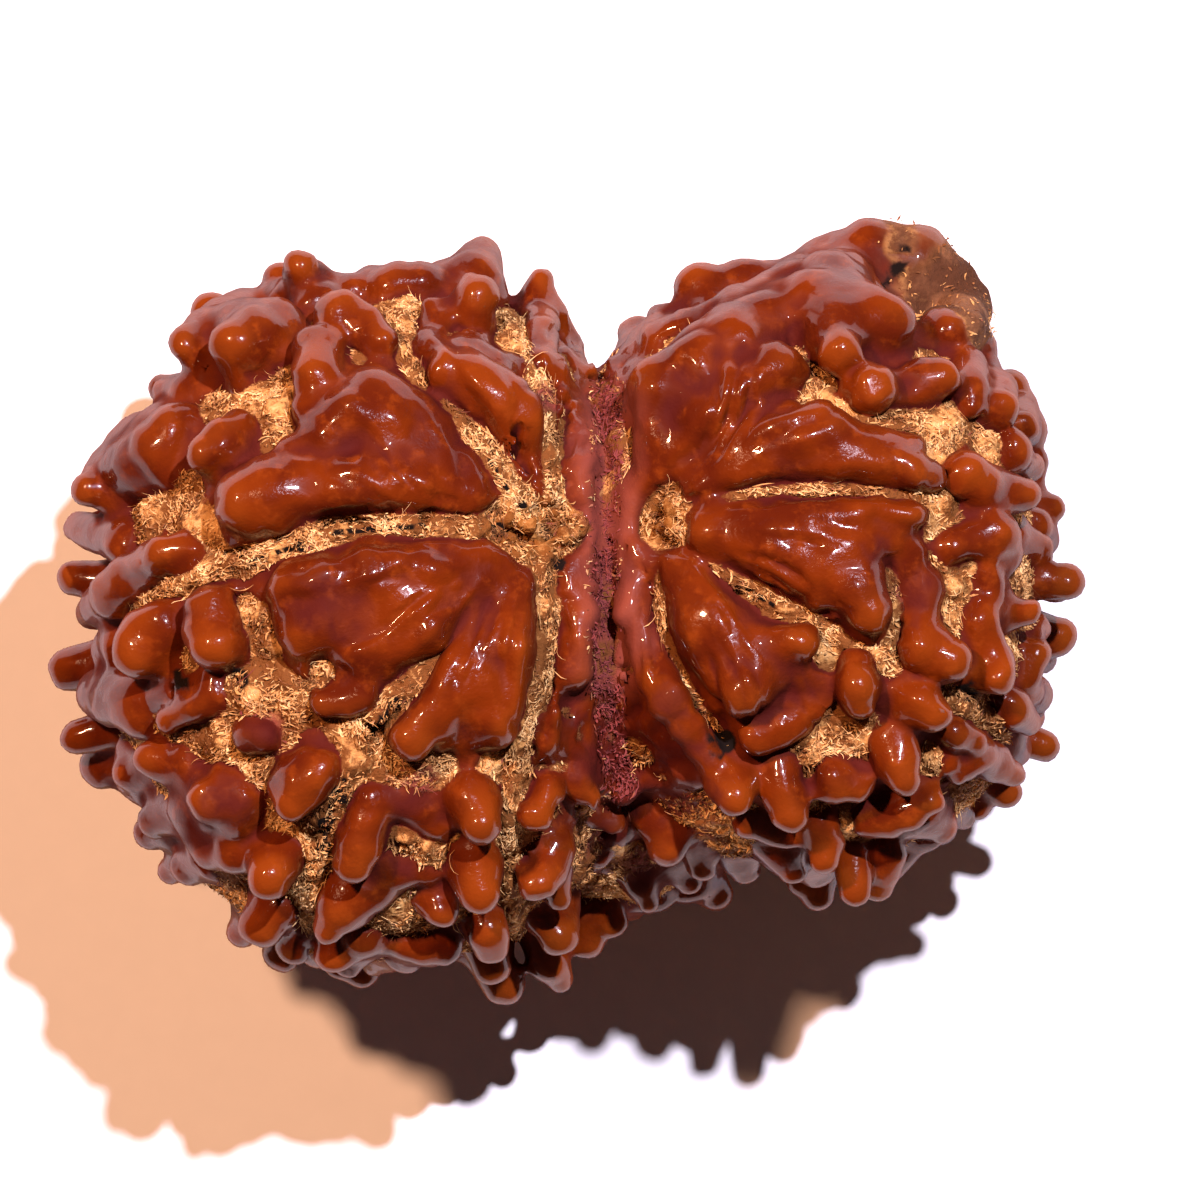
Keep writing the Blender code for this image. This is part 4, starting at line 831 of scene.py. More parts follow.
# How far out a coloured place reaches, as a share of its half width, and the wave in its edge.
edges = {
    "spot": (1.25, (0.4, 0.7, 73)),
    "dusty": (1.3, (1.1, 0.5, 71)),
    "amber": (1.25, (0.5, 0.6, 72)),
}


def edgeOf(name, points):
    share, wave = edges[name]
    return waves(points, (wave,), share)


def spotMask(points, places):
    mask = np.zeros(len(points))
    edge = edgeOf("spot", points)
    for x, y, half in places:
        far = np.hypot(points[:, 0] - x, points[:, 1] - y)
        mask = np.maximum(mask, (edge - far / half).clip(0, 1))
    return mask * (points[:, 2] > growth["upperAbove"])


# where the cracks are painted black, as painted shade
def crackMask(points):
    mask = np.zeros(len(points))
    for half, line in cracks:
        far = distanceToLine(points[:, 0], points[:, 1], line)
        mask = np.maximum(mask, (cuts["crackEdge"] - far / half).clip(0, 1))
    return mask * (points[:, 2] > growth["upperAbove"])


def trunkMask(points):  # the trunk's bare flank, away from the bead
    mask = np.zeros(len(points))
    for run in ridgeRuns(trunk):
        for ((start, startHalf), foot), ((end, endHalf), nextFoot) in zip(run, run[1:]):
            way = end - start
            share = ((points - start) @ way / max(way @ way, 1e-9)).clip(0, 1)
            far = np.linalg.norm(points - start - share[:, None] * way, axis=1)
            half = startHalf + (endHalf - startHalf) * share
            mask = np.maximum(mask, (skin["barkEdge"] - far / half).clip(0, 0.2) * 5)
    return mask * waves(points, (skin["barkWave"],), points[:, 0] - skin["barkFrom"]).clip(0, 1)


def creasesFromPits(points):  # shallow folds of the wax that run out from the nearer stem pit
    way = points[:, None, :2] - np.array([centre for centre, half, depth in pits])
    far = np.linalg.norm(way, axis=2)
    nearest = far.argmin(1)
    rows = np.arange(len(points))
    way, far = way[rows, nearest], far[rows, nearest]
    turn = way / np.maximum(far, 0.5)[:, None] * folds["turn"]
    place = np.column_stack([turn, far / folds["stretch"] + folds["apart"] * nearest])
    sway = [valueNoise(points, folds["wander"], seed) for seed in (61, 62, 63)]
    place += np.stack(sway, 1) * folds["spacing"]
    fade = (points[:, 2] / folds["above"] - 1).clip(0, 0.3) / 0.3
    fade *= (folds["fade"] - far / folds["reach"]).clip(folds["farLeft"], 1)
    fade *= ((far - folds["clear"]) / folds["clear"]).clip(folds["nearLeft"], 1)
    return (np.abs(valueNoise(place, folds["spacing"], 64)) - 0.3) * folds["height"] * fade


def sunkenPlan(field):  # in plan: how deep grooves, pockets and pits lie, and where the pits are
    x, y, z = field.grid()
    x, y = x[:, :, 0], y[:, :, 0]
    shapes = [(distanceToLine(x, y, line), half, depth) for half, depth, line in carved]
    shapes += [(np.hypot(x - px, y - py), half, growth["pocketDepth"]) for px, py, half in pockets]
    sink = np.zeros(np.broadcast(x, y).shape)
    inPit = np.zeros_like(sink)
    for far, half, depth in shapes:
        share = (far / (growth["grooveSpread"] * half)).clip(0, 1)
        sink = np.maximum(sink, depth * (1 - share**2) ** 2)
    for centre, half, depth in pits:
        share = np.hypot((x - centre[0]) / half[0], (y - centre[1]) / half[1]).clip(0, 1)
        sink = np.maximum(sink, depth * (1 - share**2))
        inPit = np.maximum(inPit, 1 - share**2)
    return sink[:, :, None], inPit[:, :, None]


def roughen(field, values, where, layers):  # waves only where they matter, as they take time
    edge = np.nonzero(where)
    near = field.low + np.stack(edge, 1) * field.cell
    for size, strength, seed in layers:
        values[edge] += valueNoise(near, size, seed) * strength


def hillsAndBed(field):  # distances from the waxy knobs and sheet, and from the fibrous bed under them
    runs = ridgeRuns(leftRidges + rightRidges + trunk)
    crests = [[(top, top) for top, foot in run] for run in runs[:len(leftRidges + rightRidges)]]
    runs += fingerRuns()
    runs += feetRuns()
    runs += undersideRuns(runs)
    print("knobs and ridges", len(runs))
    hills = field.blank()
    field.addRuns(hills, runs)
    level = field.groundDistance()
    sink, inPit = sunkenPlan(field)
    upper = ((field.grid()[2] - growth["upperAbove"]) / growth["upperOver"]).clip(0, 1)
    lower, inPit = sink * upper, inPit * upper
    band = np.nonzero(np.abs(level) < skin["sheetBand"])
    near = field.low + np.stack(band, 1) * field.cell
    fromPit = np.min([np.linalg.norm(near - settle(*centre, 0), axis=1) for centre, half, depth in pits], 0)
    opening = ((fromPit - skin["closedWithin"]) / skin["opensOver"]).clip(-1, 0.75) * 0.7
    gaps = waves(near, skin["gapWaves"], opening).clip(0, 1)
    swell = waves(near, skin["swellWaves"])
    thick = skin["sheet"] * ((skin["thinFrom"] - fromPit) / skin["thinOver"]).clip(skin["thinnest"], 1)
    sheet = field.blank()
    sheet[band] = level[band] - thick * (1 + swell - (2 + swell) * gaps)
    hills = smoothMin(hills, sheet, skin["footBlend"]) + skin["sinkKnobs"] * lower
    cores, bare = field.blank(), field.blank()
    field.addRuns(cores, crests)
    field.addRuns(bare, bareRuns())
    roughen(field, bare, (np.abs(bare) < 0.8) & (hills < 0.6), skin["ragged"])
    hills = smoothMin(smoothMax(hills, -bare, skin["wallBlend"]), cores + skin["core"], skin["wallBlend"])
    level[band] -= skin["mound"] * gaps
    bed = level - skin["mat"] - skin["fill"] * lower * (1 - inPit) + skin["sinkPit"] * inPit
    balls = [[(settle(x, y, height), half) for x, y, half, height in chip] for chip in chips]
    field.addRuns(bed, [[(ball, ball) for ball in chip] for chip in balls])
    return hills, bed


def cutCracks(field, values):
    slits = field.blank()
    field.addRuns(slits, crackRuns())
    roughen(field, slits, np.abs(slits) < 0.4, skin["crackRagged"])
    return np.maximum(smoothMax(values, -slits, skin["crackBlend"]), -field.grid()[2])


def fineRelief(field, values, rise, points):  # settles points on the surface and adds its small swellings
    for k in range(2):
        slope = field.slopeAt(values, points)
        size = np.maximum((slope**2).sum(1), 0.2)
        points -= slope * (field.at(values, points) / size).clip(-0.3 * field.cell, 0.3 * field.cell)[:, None]
    onKnob = (field.at(rise, points) / 0.3 + 0.5).clip(0, 1)
    lumps = waves(points, skin["lumpWaves"]) * skin["lumps"]
    lumps += creasesFromPits(points)
    ragged = waves(points, skin["bedWaves"]) * skin["bedRelief"]
    ragged *= 1 + skin["pitRelief"] * nearPit(points)
    push = (onKnob * lumps + (1 - onKnob) * ragged) * (points[:, 2] / 0.3).clip(0, 1)
    points += slope / np.linalg.norm(slope, axis=1)[:, None] * push[:, None]
    points[:, 2] = points[:, 2].clip(0, None)
    return points


def makeSkin():
    cell = skin["cell"]
    field = Field(skin["low"], skin["high"], cell)
    print("field", field.shape)
    hills, bed = hillsAndBed(field)
    rise = bed - hills
    values = cutCracks(field, smoothMin(bed, hills, skin["bedBlend"]))
    points, faces = skinOf(field, values)
    print("skin before thinning", len(points))
    points = fineRelief(field, values, rise, points)
    data = thinned(meshFrom("rough skin", points, faces), min(1, skin["faces"] / (2 * len(faces))))
    points = coordinates(data)
    solid = (values < 0).astype(np.float32)
    # How enclosed each point is. The shaders paint shade from it in creases and hollows, paint light on
    # exposed tops, and set the gloss by it.
    crowd = boxBlur(solid, max(2, round(skin["hollowReach"] / cell)))
    crease = boxBlur(solid, max(1, round(skin["creaseReach"] / cell)))
    onTop = (points[:, 2] / growth["upperAbove"] - 1).clip(0, 1)
    fromSeam = distanceToLine(points[:, 0], points[:, 1], dusty["line"])
    masks = {
        "rise": field.at(rise, points),
        "crease": field.at(crease, points) - 0.5,
        "hollow": field.at(crowd, points) - 0.5,
        "maroon": spotMask(points, spots["maroon"]),
        "pale": spotMask(points, pockets),
        "dark": spotMask(points, spots["dark"]),
        "crack": crackMask(points),
        "trunk": trunkMask(points),
        "dusty": (dusty["half"] * edgeOf("dusty", points) - fromSeam).clip(0, 1) * onTop,
        "amber": (edgeOf("amber", points) - pitShare(points)).clip(0, 1) * onTop,
    }
    for name, mask in masks.items():
        keepMask(data, name, mask)
    return data, field, values, rise, crowd


# Torn fibres of dried pulp on the bed: matted shreds, felt and longer loose strands. Lengths in millimetres.
pulp = {
    "bed_shreds": {
        "count": 32000,
        "quickCount": 9000,
        "length": (0.12, 0.5),
        "half": (0.016, 0.05),
        "lift": 0.07,         # how far an end stands off the bed
        "steps": 4,
        "stray": 0.7,         # how far they lie every way, against combed out from the pits
        "comb": 1.0,
        "reach": 0.1,         # how far up the knobs they grow
        "onSeam": 0.6,
        "onTrunk": 0.08,
        "seed": 11,
    },
    "bed_felt": {
        "count": 48000,
        "quickCount": 9000,
        "length": (0.08, 0.28),
        "half": (0.02, 0.05),
        "lift": 0.12,
        "steps": 3,
        "stray": 1.2,
        "comb": 0.7,
        "reach": 0.06,
        "onSeam": 0.6,
        "onTrunk": 0.12,
        "seed": 13,
    },
    "bed_strands": {
        "count": 6500,
        "quickCount": 1800,
        "length": (0.4, 1.2),
        "half": (0.008, 0.018),
        "lift": 0.15,
        "steps": 6,
        "stray": 0.5,
        "comb": 0.8,
        "reach": 0.02,
        "onSeam": 0,
        "onTrunk": 0,
        "seed": 12,
    },
}
# What all of these fibres share.
torn = {
    "clumps": ((0.8, 1, 5), (0.35, 0.5, 6)),         # waves of how thick they lie, over a mean
    "between": 0.8,
    "above": 0.8,             # none lower than this
    "seamHalf": 0.8,          # the maroon strip along the seam
    "seamAbove": 10,
    "grain": 1.4,             # how far apart they change their common direction
    "shortMost": 1.6,         # above 1 there are more short ones, and more that lie flat
    "flatMost": 1.5,
    "curl": 0.9,
    "slant": 0.6,
    "twist": 0.8,
    "ragged": (0.4, 1.3),     # least and greatest width along one, and its width at both ends
    "tip": 0.35,
}
# How bright the fibres are, and what darkens them: painted shade in hollows and stem pits, and the fibres'
# own darker colour on the trunk and in maroon places.
pulpShade = {
    "mean": 0.56,
    "spread": 0.22,
    "clumps": 0.32,
    "hollow": 1.1,
    "pit": 0.42,
    "trunk": 0.7,
    "maroon": 0.45,
}
# How much of the fibres' colour is maroon tissue: along the seam, in maroon places, and by chance.
tissue = {"seam": 1.6, "maroon": 0.5, "spread": 0.2}


def unit(vectors, least=1e-6):
    return vectors / np.maximum(np.linalg.norm(vectors, axis=-1), least)[..., None]


def alongSurface(way, normal):
    return unit(way - normal * (way * normal).sum(1)[:, None])


def bareTriangles(kind, data, field, rise):  # the skin's triangles, and how thick these fibres lie on each
    data.calc_loop_triangles()
    corners = np.empty(3 * len(data.loop_triangles), np.int32)
    data.loop_triangles.foreach_get("vertices", corners)
    corners = corners.reshape(-1, 3)
    triangle = coordinates(data)[corners]
    middle = triangle.mean(1)
    area = np.linalg.norm(np.cross(triangle[:, 1] - triangle[:, 0], triangle[:, 2] - triangle[:, 0]), axis=1)
    clump = waves(middle, torn["clumps"])
    onTrunk, onMaroon = (maskOf(data, name)[corners[:, 0]] for name in ("trunk", "maroon"))
    fromSeam = distanceToLine(middle[:, 0], middle[:, 1], seamLine)
    onSeam = (1 - fromSeam / torn["seamHalf"]).clip(0, 1) * (middle[:, 2] > torn["seamAbove"])
    bare = np.maximum(field.at(rise, middle) < kind["reach"], kind["onTrunk"] * (onTrunk > 0.6))
    bare = np.maximum(bare, kind["onSeam"] * (onSeam > 0.2))
    weight = area * bare * (clump + torn["between"]).clip(0, None) * (middle[:, 2] > torn["above"])
    return triangle, weight, clump, onTrunk, onMaroon, onSeam


def makePulp(name, data, field, values, rise, crowd):
    kind = pulp[name]
    rng = np.random.default_rng(kind["seed"])
    count = kind["count"]
    steps = kind["steps"]
    triangle, weight, *shares = bareTriangles(kind, data, field, rise)
    chosen = rng.choice(len(triangle), count, p=weight / weight.sum())
    clump, onTrunk, onMaroon, onSeam = (share[chosen] for share in shares)
    triangle = triangle[chosen]
    root = triangle[:, 0] + (triangle[:, 1] - triangle[:, 0]) * rng.uniform(0, 1, (count, 1))
    root += (triangle[:, 2] - root) * rng.uniform(0, 0.7, (count, 1))
    grain = np.stack([valueNoise(root, torn["grain"], seed) for seed in (21, 22, 23)], 1)
    way = kind["stray"] * unit(rng.normal(size=(count, 3)), 0) + unit(grain, 0)
    fromPits = root[:, None] - np.array([(*centre, 20.0) for centre, half, depth in pits])
    fromPits = fromPits[np.arange(count), np.linalg.norm(fromPits[:, :, :2], axis=2).argmin(1)]
    way = alongSurface(way + kind["comb"] * unit(fromPits, 0), unit(field.slopeAt(values, root)))
    short, long = kind["length"]
    length = rng.uniform(0, 1, count) ** torn["shortMost"] * (long - short) + short
    thick = rng.uniform(*kind["half"], count)
    lift = rng.uniform(0, 1, count) ** torn["flatMost"] * kind["lift"]
    curl = rng.normal(size=count) * torn["curl"]
    slant = rng.normal(size=count) * torn["slant"]
    turn = (curl / (steps - 1))[:, None]
    point = root - way * (length / 2)[:, None]
    line, sides = [], []
    for k in range(steps):
        normal = unit(field.slopeAt(values, point), 0.2)
        arch = lift * (1 + slant * (2 * k / (steps - 1) - 1)) + 0.01
        point = point + normal * (arch - field.at(values, point)).clip(-0.25, 0.25)[:, None]
        side = np.cross(normal, way)
        line.append(point)
        sides.append(side)
        way = alongSurface(way * np.cos(turn) + side * np.sin(turn), normal)
        point = point + way * (length / (steps - 1))[:, None]
    line, side = np.stack(line, 1), np.stack(sides, 1)
    twist = (rng.normal(size=count) * torn["twist"])[:, None, None]
    across = side * np.cos(twist) + np.cross(unit(np.gradient(line, axis=1)), side) * np.sin(twist)
    ragged = rng.uniform(*torn["ragged"], (count, steps, 1))
    ragged[:, (0, -1)] *= torn["tip"]
    across *= ragged * thick[:, None, None]
    points = np.stack([line - across, line + across], 2).reshape(-1, 3)
    points[:, 2] = points[:, 2].clip(0.02, None)
    start = (np.arange(count) * steps * 2)[:, None] + (np.arange(steps - 1) * 2)[None, :]
    faces = np.stack([start, start + 1, start + 3, start + 2], 2).reshape(-1, 4)
    mesh = meshFrom(name, points * mm, faces)
    # painted shade: fibres deep in hollows and in the stem pits are darkened; the trunk and maroon places
    # darken them to their own colour
    deep = (field.at(crowd, root) - 0.5).clip(-0.2, 0.4)
    shade = pulpShade["mean"] + rng.normal(size=count) * pulpShade["spread"] + pulpShade["clumps"] * clump
    shade = (shade - pulpShade["hollow"] * deep).clip(0, 1)
    shade -= pulpShade["pit"] * nearPit(root) + pulpShade["trunk"] * onTrunk
    shade = (shade - pulpShade["maroon"] * onMaroon).clip(0, 1)
    redness = tissue["seam"] * onSeam + tissue["maroon"] * onMaroon
    redness += rng.normal(size=count) * tissue["spread"]
    keepMask(mesh, "shade", np.repeat(shade, steps * 2))
    keepMask(mesh, "maroon", np.repeat(redness, steps * 2))
    print(name, count)
    return mesh


# Colours as the shader takes them.
waxTone = {
    "body": (0.135, 0.019, 0.0016, 1),
    "dark": (0.078, 0.009, 0.0018, 1),
    "warm": (0.17, 0.028, 0.003, 1),
    # tip is painted light: a brighter orange on exposed, convex tops, standing in for light through thin wax
    "tip": (0.23, 0.045, 0.004, 1),
    # deep is partly painted shade, in creases and at the knobs' low bases, and partly the stone's own maroon
    # in maroon places
    "deep": (0.058, 0.0062, 0.0055, 1),
    "dusty": (0.24, 0.06, 0.042, 1),
}
fibreTone = {
    "light": (0.86, 0.56, 0.24, 1),
    "middle": (0.58, 0.29, 0.09, 1),
    "shade": (0.17, 0.06, 0.015, 1),
    "seam": (0.19, 0.034, 0.030, 1),
    "amber": (0.26, 0.09, 0.012, 1),
    # painted shade: the black laid on cracks and dark spots
    "crack": (0.008, 0.005, 0.004, 1),
}
barkTone = {"light": (0.19, 0.085, 0.04, 1), "shade": (0.05, 0.02, 0.012, 1)}
# How much of each tone covers the one under it, where its mask is full; tip is painted light, deep is partly
# painted shade.
cover = {"tip": 0.5, "deep": 0.8, "seam": 0.75, "amber": 0.6, "dusty": 0.55, "bark": 0.8}
# How fine each pattern is, in waves to the metre.
pattern = {
    "patch": 700.0,
    "fibre": 4200.0,
    "blotch": 420.0,
    "mottle": 1500.0,
    "pores": 8500.0,
    "edge": 3200.0,
    "bark": 450.0,
    "paper": 900.0,
}
# How the skin and the pulp reflect. Bump heights are in hundredths of a millimetre.
finish = {
    "smooth": 0.21,
    "rough": 0.75,
    "specular": 0.06,
    "coat": 0.55,
    "coatRough": 0.06,
    "rimSheen": 0.15,         # share of the sheen that is left where the skin turns edge on
    "pulpRough": 0.8,
    "pulpSpecular": 0.3,
    "fibreBump": 14.0,
    "lumpBump": 3.5,
    "fineBump": 1.5,
    "bumpUnit": 0.00001,
}


class Net:  # a node tree, whose nodes are set out in columns as they are made
    def __init__(self, tree):
        self.tree = tree

    def node(self, kind, inputs=None, **settings):
        count = len(self.tree.nodes)
        node = self.tree.nodes.new(kind)
        node.location = (count // 8 * 220 - 2200, 700 - count % 8 * 190)
        for name, value in settings.items():
            setattr(node, name, value)
        for name, value in (inputs or {}).items():
            self.join(value, node.inputs[name])
        return node

    def join(self, value, socket):  # value is a number, a colour or another node's socket
        if isinstance(value, bpy.types.NodeSocket):
            self.tree.links.new(value, socket)
        else:
            socket.default_value = value

    def math(self, operation, *values):
        node = self.node("ShaderNodeMath", operation=operation)
        for value, socket in zip(values, node.inputs):
            self.join(value, socket)
        return node.outputs[0]

    def product(self, first, *others):
        for other in others:
            first = self.math("MULTIPLY", first, other)
        return first

    def mapped(self, value, fromLow, fromHigh, toLow=0.0, toHigh=1.0, kind="SMOOTHSTEP"):
        inputs = {"Value": value, "From Min": fromLow, "From Max": fromHigh}
        inputs.update({"To Min": toLow, "To Max": toHigh})
        return self.node("ShaderNodeMapRange", inputs, interpolation_type=kind).outputs["Result"]

    def mixed(self, share, a, b):
        node = self.node("ShaderNodeMix", data_type="RGBA")
        for value, number in ((share, 0), (a, 6), (b, 7)):  # 6 and 7 are its sockets for colours
            self.join(value, node.inputs[number])
        return node.outputs[2]

    def noise(self, scale, detail, roughness=0.55):
        where = self.tree.nodes.get("where") or self.node("ShaderNodeTexCoord", name="where")
        inputs = {"Vector": where.outputs["Object"], "Scale": scale, "Detail": detail, "Roughness": roughness}
        return self.node("ShaderNodeTexNoise", inputs).outputs["Fac"]

    def attribute(self, name):
        return self.node("ShaderNodeAttribute", attribute_name=name).outputs["Fac"]

    def group(self, group, inputs):
        return self.node("ShaderNodeGroup", inputs, node_tree=group).outputs


def newGroup(name, inputs):  # a shader group that gives a colour and a height
    group = bpy.data.node_groups.new(name, "ShaderNodeTree")
    for label, value in inputs.items():
        group.interface.new_socket(label, in_out="INPUT", socket_type="NodeSocketFloat").default_value = value
    group.interface.new_socket("Color", in_out="OUTPUT", socket_type="NodeSocketColor")
    group.interface.new_socket("Height", in_out="OUTPUT", socket_type="NodeSocketFloat")
    net = Net(group)
    return net, net.node("NodeGroupInput").outputs, net.node("NodeGroupOutput").inputs


def newMaterial(name):
    material = bpy.data.materials.new(name)
    material.use_nodes = True
    shader = material.node_tree.nodes["Principled BSDF"]
    return material, Net(material.node_tree), shader.inputs


def fibreGroup():  # torn dried pulp, dark to bright by noise and by Bright, which is lowered partly as painted shade in hollows and stem pits
    net, entry, leave = newGroup("driedFibre", {"Bright": 0.5, "Grain": pattern["fibre"]})
    fine = net.noise(entry["Grain"], 4.0, 0.65)
    patch = net.mapped(net.math("ADD", net.noise(pattern["patch"], 2.0), net.product(fine, 0.6)), 0.55, 1.05)
    tone = net.math("ADD", patch, net.math("SUBTRACT", entry["Bright"], 0.5))
    low = net.mixed(net.mapped(tone, 0.0, 0.5), fibreTone["shade"], fibreTone["middle"])
    net.join(net.mixed(net.mapped(tone, 0.4, 1.1), low, fibreTone["light"]), leave["Color"])
    net.join(fine, leave["Height"])
    return net.tree


def waxGroup():  # the polished stone: painted light makes the exposed tips orange, painted shade darkens the creases and the knobs' low bases, and maroon places keep their own maroon
    net, entry, leave = newGroup("waxedStone", {"Rise": 1.0, "Crease": 0.0, "Hollow": 0.0, "Maroon": 0.0})
    mottle = net.noise(pattern["mottle"], 4.0, 0.6)
    blotch = net.mapped(net.noise(pattern["blotch"], 3.0), 0.35, 0.65)
    base = net.mixed(blotch, waxTone["dark"], waxTone["body"])
    base = net.mixed(net.mapped(mottle, 0.5, 0.75), base, waxTone["warm"])
    # painted light: exposed, convex tops lean toward the brighter tip tone
    tip = net.mapped(net.product(entry["Hollow"], -1.0), 0.1, 0.3)
    base = net.mixed(net.product(tip, cover["tip"]), base, waxTone["tip"])
    # painted shade in creases and where the wax barely rises over the bed, joined by the real maroon of
    # maroon places
    low = net.mapped(entry["Rise"], 0.5, 0.05)
    deep = net.math("MAXIMUM", net.mapped(entry["Crease"], 0.02, 0.2), net.product(low, 0.5))
    deep = net.math("MAXIMUM", deep, entry["Maroon"])
    net.join(net.mixed(net.product(deep, cover["deep"]), base, waxTone["deep"]), leave["Color"])
    fine = net.product(net.noise(pattern["pores"], 2.0, 0.5), finish["fineBump"])
    net.join(net.math("ADD", fine, net.product(mottle, finish["lumpBump"])), leave["Height"])
    return net.tree


def skinMaterial(wax, fibre):  # waxed stone where the skin rises out of the bed, dried pulp elsewhere
    material, net, shader = newMaterial("bead_skin")
    names = ("rise", "crease", "hollow", "maroon", "pale", "dark", "crack", "trunk", "dusty", "amber")
    mask = {name: net.attribute(name) for name in names}
    edge = net.noise(pattern["edge"], 4.0, 0.7)
    rise = net.math("ADD", mask["rise"], net.math("MULTIPLY_ADD", edge, 0.5, -0.25))
    knob = net.product(
        net.mapped(rise, 0.02, 0.14),
        net.math("SUBTRACT", 1.0, mask["crack"]),
        net.mapped(mask["trunk"], 0.75, 0.35),
    )
    facing = net.node("ShaderNodeLayerWeight", {"Blend": 0.5}).outputs["Facing"]
    sheen = net.product(
        net.mapped(mask["hollow"], 0.15, 0.0),
        net.mapped(mask["crease"], 0.12, -0.02),
        net.mapped(mask["maroon"], 0.8, 0.1),
        net.mapped(mask["dusty"], 1.2, 0.1),
        knob,
        net.mapped(facing, 0.45, 0.95, 1.0, finish["rimSheen"]),
    )
    waxed = net.group(wax, {name.capitalize(): mask[name] for name in ("rise", "crease", "hollow", "maroon")})
    bright = net.math("MULTIPLY_ADD", mask["pale"], 0.5, -0.02)
    # painted shade: the bed is darkened in hollows
    bright = net.math("SUBTRACT", bright, net.product(net.mapped(mask["hollow"], 0.12, 0.32), 0.55))
    bright = net.math("SUBTRACT", bright, net.product(mask["trunk"], 0.2))
    dried = net.group(fibre, {"Bright": bright})
    bedColor = net.mixed(net.product(mask["maroon"], cover["seam"]), dried["Color"], fibreTone["seam"])
    bedColor = net.mixed(net.product(mask["amber"], cover["amber"]), bedColor, fibreTone["amber"])
    dulled = net.mixed(net.product(mask["dusty"], cover["dusty"]), waxed["Color"], waxTone["dusty"])
    color = net.mixed(knob, bedColor, dulled)
    bark = net.mapped(net.noise(pattern["bark"], 4.0, 0.6), 0.42, 0.6)
    bark = net.mixed(bark, barkTone["shade"], barkTone["light"])
    color = net.mixed(net.product(mask["trunk"], cover["bark"]), color, bark)
    # painted shade: black laid along the cracks and on the dark spots, in slits, holes and hollows, partly
    # dark stains
    black = net.product(net.math("MAXIMUM", mask["crack"], mask["dark"]), net.math("ADD", edge, 0.5))
    black = net.mapped(black, 0.35, 0.75)
    net.join(net.mixed(black, color, fibreTone["crack"]), shader["Base Color"])
    roughness = net.mapped(sheen, 0.0, 1.0, finish["rough"], finish["smooth"], "LINEAR")
    net.join(net.math("MAXIMUM", roughness, black), shader["Roughness"])
    net.join(net.product(sheen, finish["coat"]), shader["Coat Weight"])
    shader["Coat Roughness"].default_value = finish["coatRough"]
    shader["Specular IOR Level"].default_value = finish["specular"]
    shader["IOR"].default_value = 1.5
    fibreHeight = net.product(dried["Height"], finish["fibreBump"])
    heights = net.node("ShaderNodeMix", data_type="FLOAT")
    for value, number in ((knob, 0), (fibreHeight, 2), (waxed["Height"], 3)):  # and 2 and 3 for numbers
        net.join(value, heights.inputs[number])
    bump = {"Height": heights.outputs[0], "Distance": finish["bumpUnit"], "Strength": 1.0}
    net.join(net.node("ShaderNodeBump", bump).outputs["Normal"], shader["Normal"])
    return material


def pulpMaterial(fibre):
    material, net, shader = newMaterial("bed_strands")
    # the shade attribute carries painted shade of hollows and stem pits, with the fibres' own tone
    bright = net.mapped(net.attribute("shade"), 0.0, 1.0, 0.1, 1.0, "LINEAR")
    red = net.mapped(net.attribute("maroon"), 0.2, 0.8)
    color = net.mixed(red, net.group(fibre, {"Bright": bright})["Color"], fibreTone["seam"])
    net.join(color, shader["Base Color"])
    shader["Roughness"].default_value = finish["pulpRough"]
    shader["Specular IOR Level"].default_value = finish["pulpSpecular"]
    return material


# The photograph's frame: width of what it shows, and where its middle falls in plan.
shot = {
    "wide": 44.27 * mm,
    "middle": (1.29, 0.55),
    "distance": 0.62,
    "level": 11 * mm,
    "sensor": 36,
    "clip": (0.05, 5),
}
lamps = [
    # name, direction (x, y, z), distance, width, power, colour
    ("key", (0.26, 0.42, 1.0), 0.5, 0.014, 4.4, (0.90, 0.83, 1.0)),
    ("second", (-0.45, 0.38, 1.0), 0.5, 0.04, 2.7, (1.0, 0.52, 0.30)),
]
studio = {
    "floor": (0.9, 0.9, 0.9, 1),
    "floorGrain": (0.86, 0.86, 0.86, 1),
    "floorHalf": 0.6,
    "floorRough": 0.9,
    "floorSpecular": 0.2,
    "sky": (1.0, 0.62, 0.6, 1),
    "skyPower": 0.045,
}


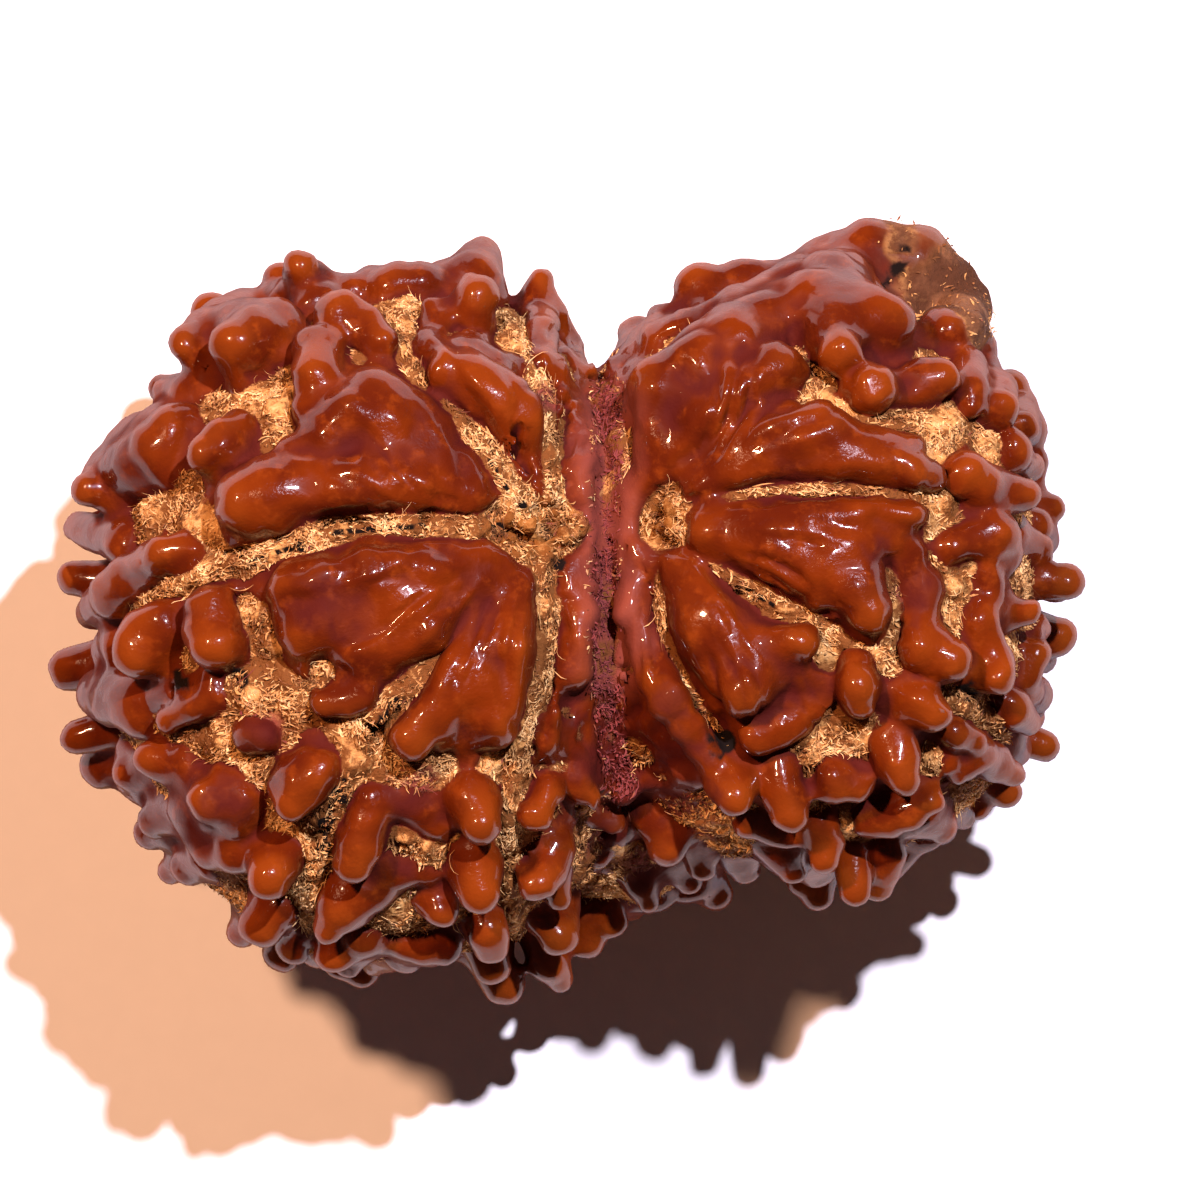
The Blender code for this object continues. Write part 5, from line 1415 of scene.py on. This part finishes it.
def makeStudio():
    world = bpy.data.worlds.new("studio")
    bpy.context.scene.world = world
    world.use_nodes = True
    world.node_tree.nodes["Background"].inputs["Color"].default_value = studio["sky"]
    world.node_tree.nodes["Background"].inputs["Strength"].default_value = studio["skyPower"]
    for name, way, distance, width, power, color in lamps:
        data = bpy.data.lights.new(name, "AREA")
        data.shape = "DISK"
        data.size = width
        data.energy = power
        data.color = color
        lamp = addObject(name, data)
        way = Vector(way).normalized()
        lamp.location = way * distance
        lamp.rotation_euler = way.to_track_quat("Z", "Y").to_euler()
    half = studio["floorHalf"]
    corners = np.array([(-half, -half, 0), (half, -half, 0), (half, half, 0), (-half, half, 0)])
    paper, net, shader = newMaterial("paper")
    floor = addObject("floor", meshFrom("floor", corners, np.array([[0, 1, 2, 3]])), paper)
    grain = net.noise(pattern["paper"], 2.0)
    net.join(net.mixed(grain, studio["floorGrain"], studio["floor"]), shader["Base Color"])
    shader["Roughness"].default_value = studio["floorRough"]
    shader["Specular IOR Level"].default_value = studio["floorSpecular"]


def makeCamera(shift):
    data = bpy.data.cameras.new("camera")
    data.sensor_width = shot["sensor"]
    data.lens = shot["sensor"] * shot["distance"] / shot["wide"]
    data.clip_start, data.clip_end = shot["clip"]
    camera = addObject("camera", data)
    x, y = shot["middle"]
    camera.location = (x * mm + shift[0], y * mm + shift[1], shot["level"] + shot["distance"])
    bpy.context.scene.camera = camera


data, field, values, rise, crowd = makeSkin()
pulpData = [makePulp(name, data, field, values, rise, crowd) for name in pulp]
points = coordinates(data) * mm
data.vertices.foreach_set("co", np.ascontiguousarray(points, np.float32).ravel())
middle = (points.min(0) + points.max(0)) / 2
low, high = (np.array(corner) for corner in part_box("twin_bead"))
shift = (low + high) / 2 - middle
shift[2] = 0
wax, fibre = waxGroup(), fibreGroup()
bead = addObject("bead", data, skinMaterial(wax, fibre))
driedPulp = pulpMaterial(fibre)
pieces = [bead] + [addObject(mesh.name, mesh, driedPulp) for mesh in pulpData]
for piece in pieces:
    piece.data.transform(Matrix.Translation(shift))
    piece.data.shade_smooth()
    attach(piece, "root")
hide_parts("twin_bead")
print("skin triangles", sum(len(face.vertices) - 2 for face in bead.data.polygons))
print("materials", *sorted({piece.data.materials[0].name for piece in pieces}))
makeStudio()
makeCamera(shift)
bpy.context.scene.view_settings.view_transform = "Standard"
print("studio, lamps and camera set")
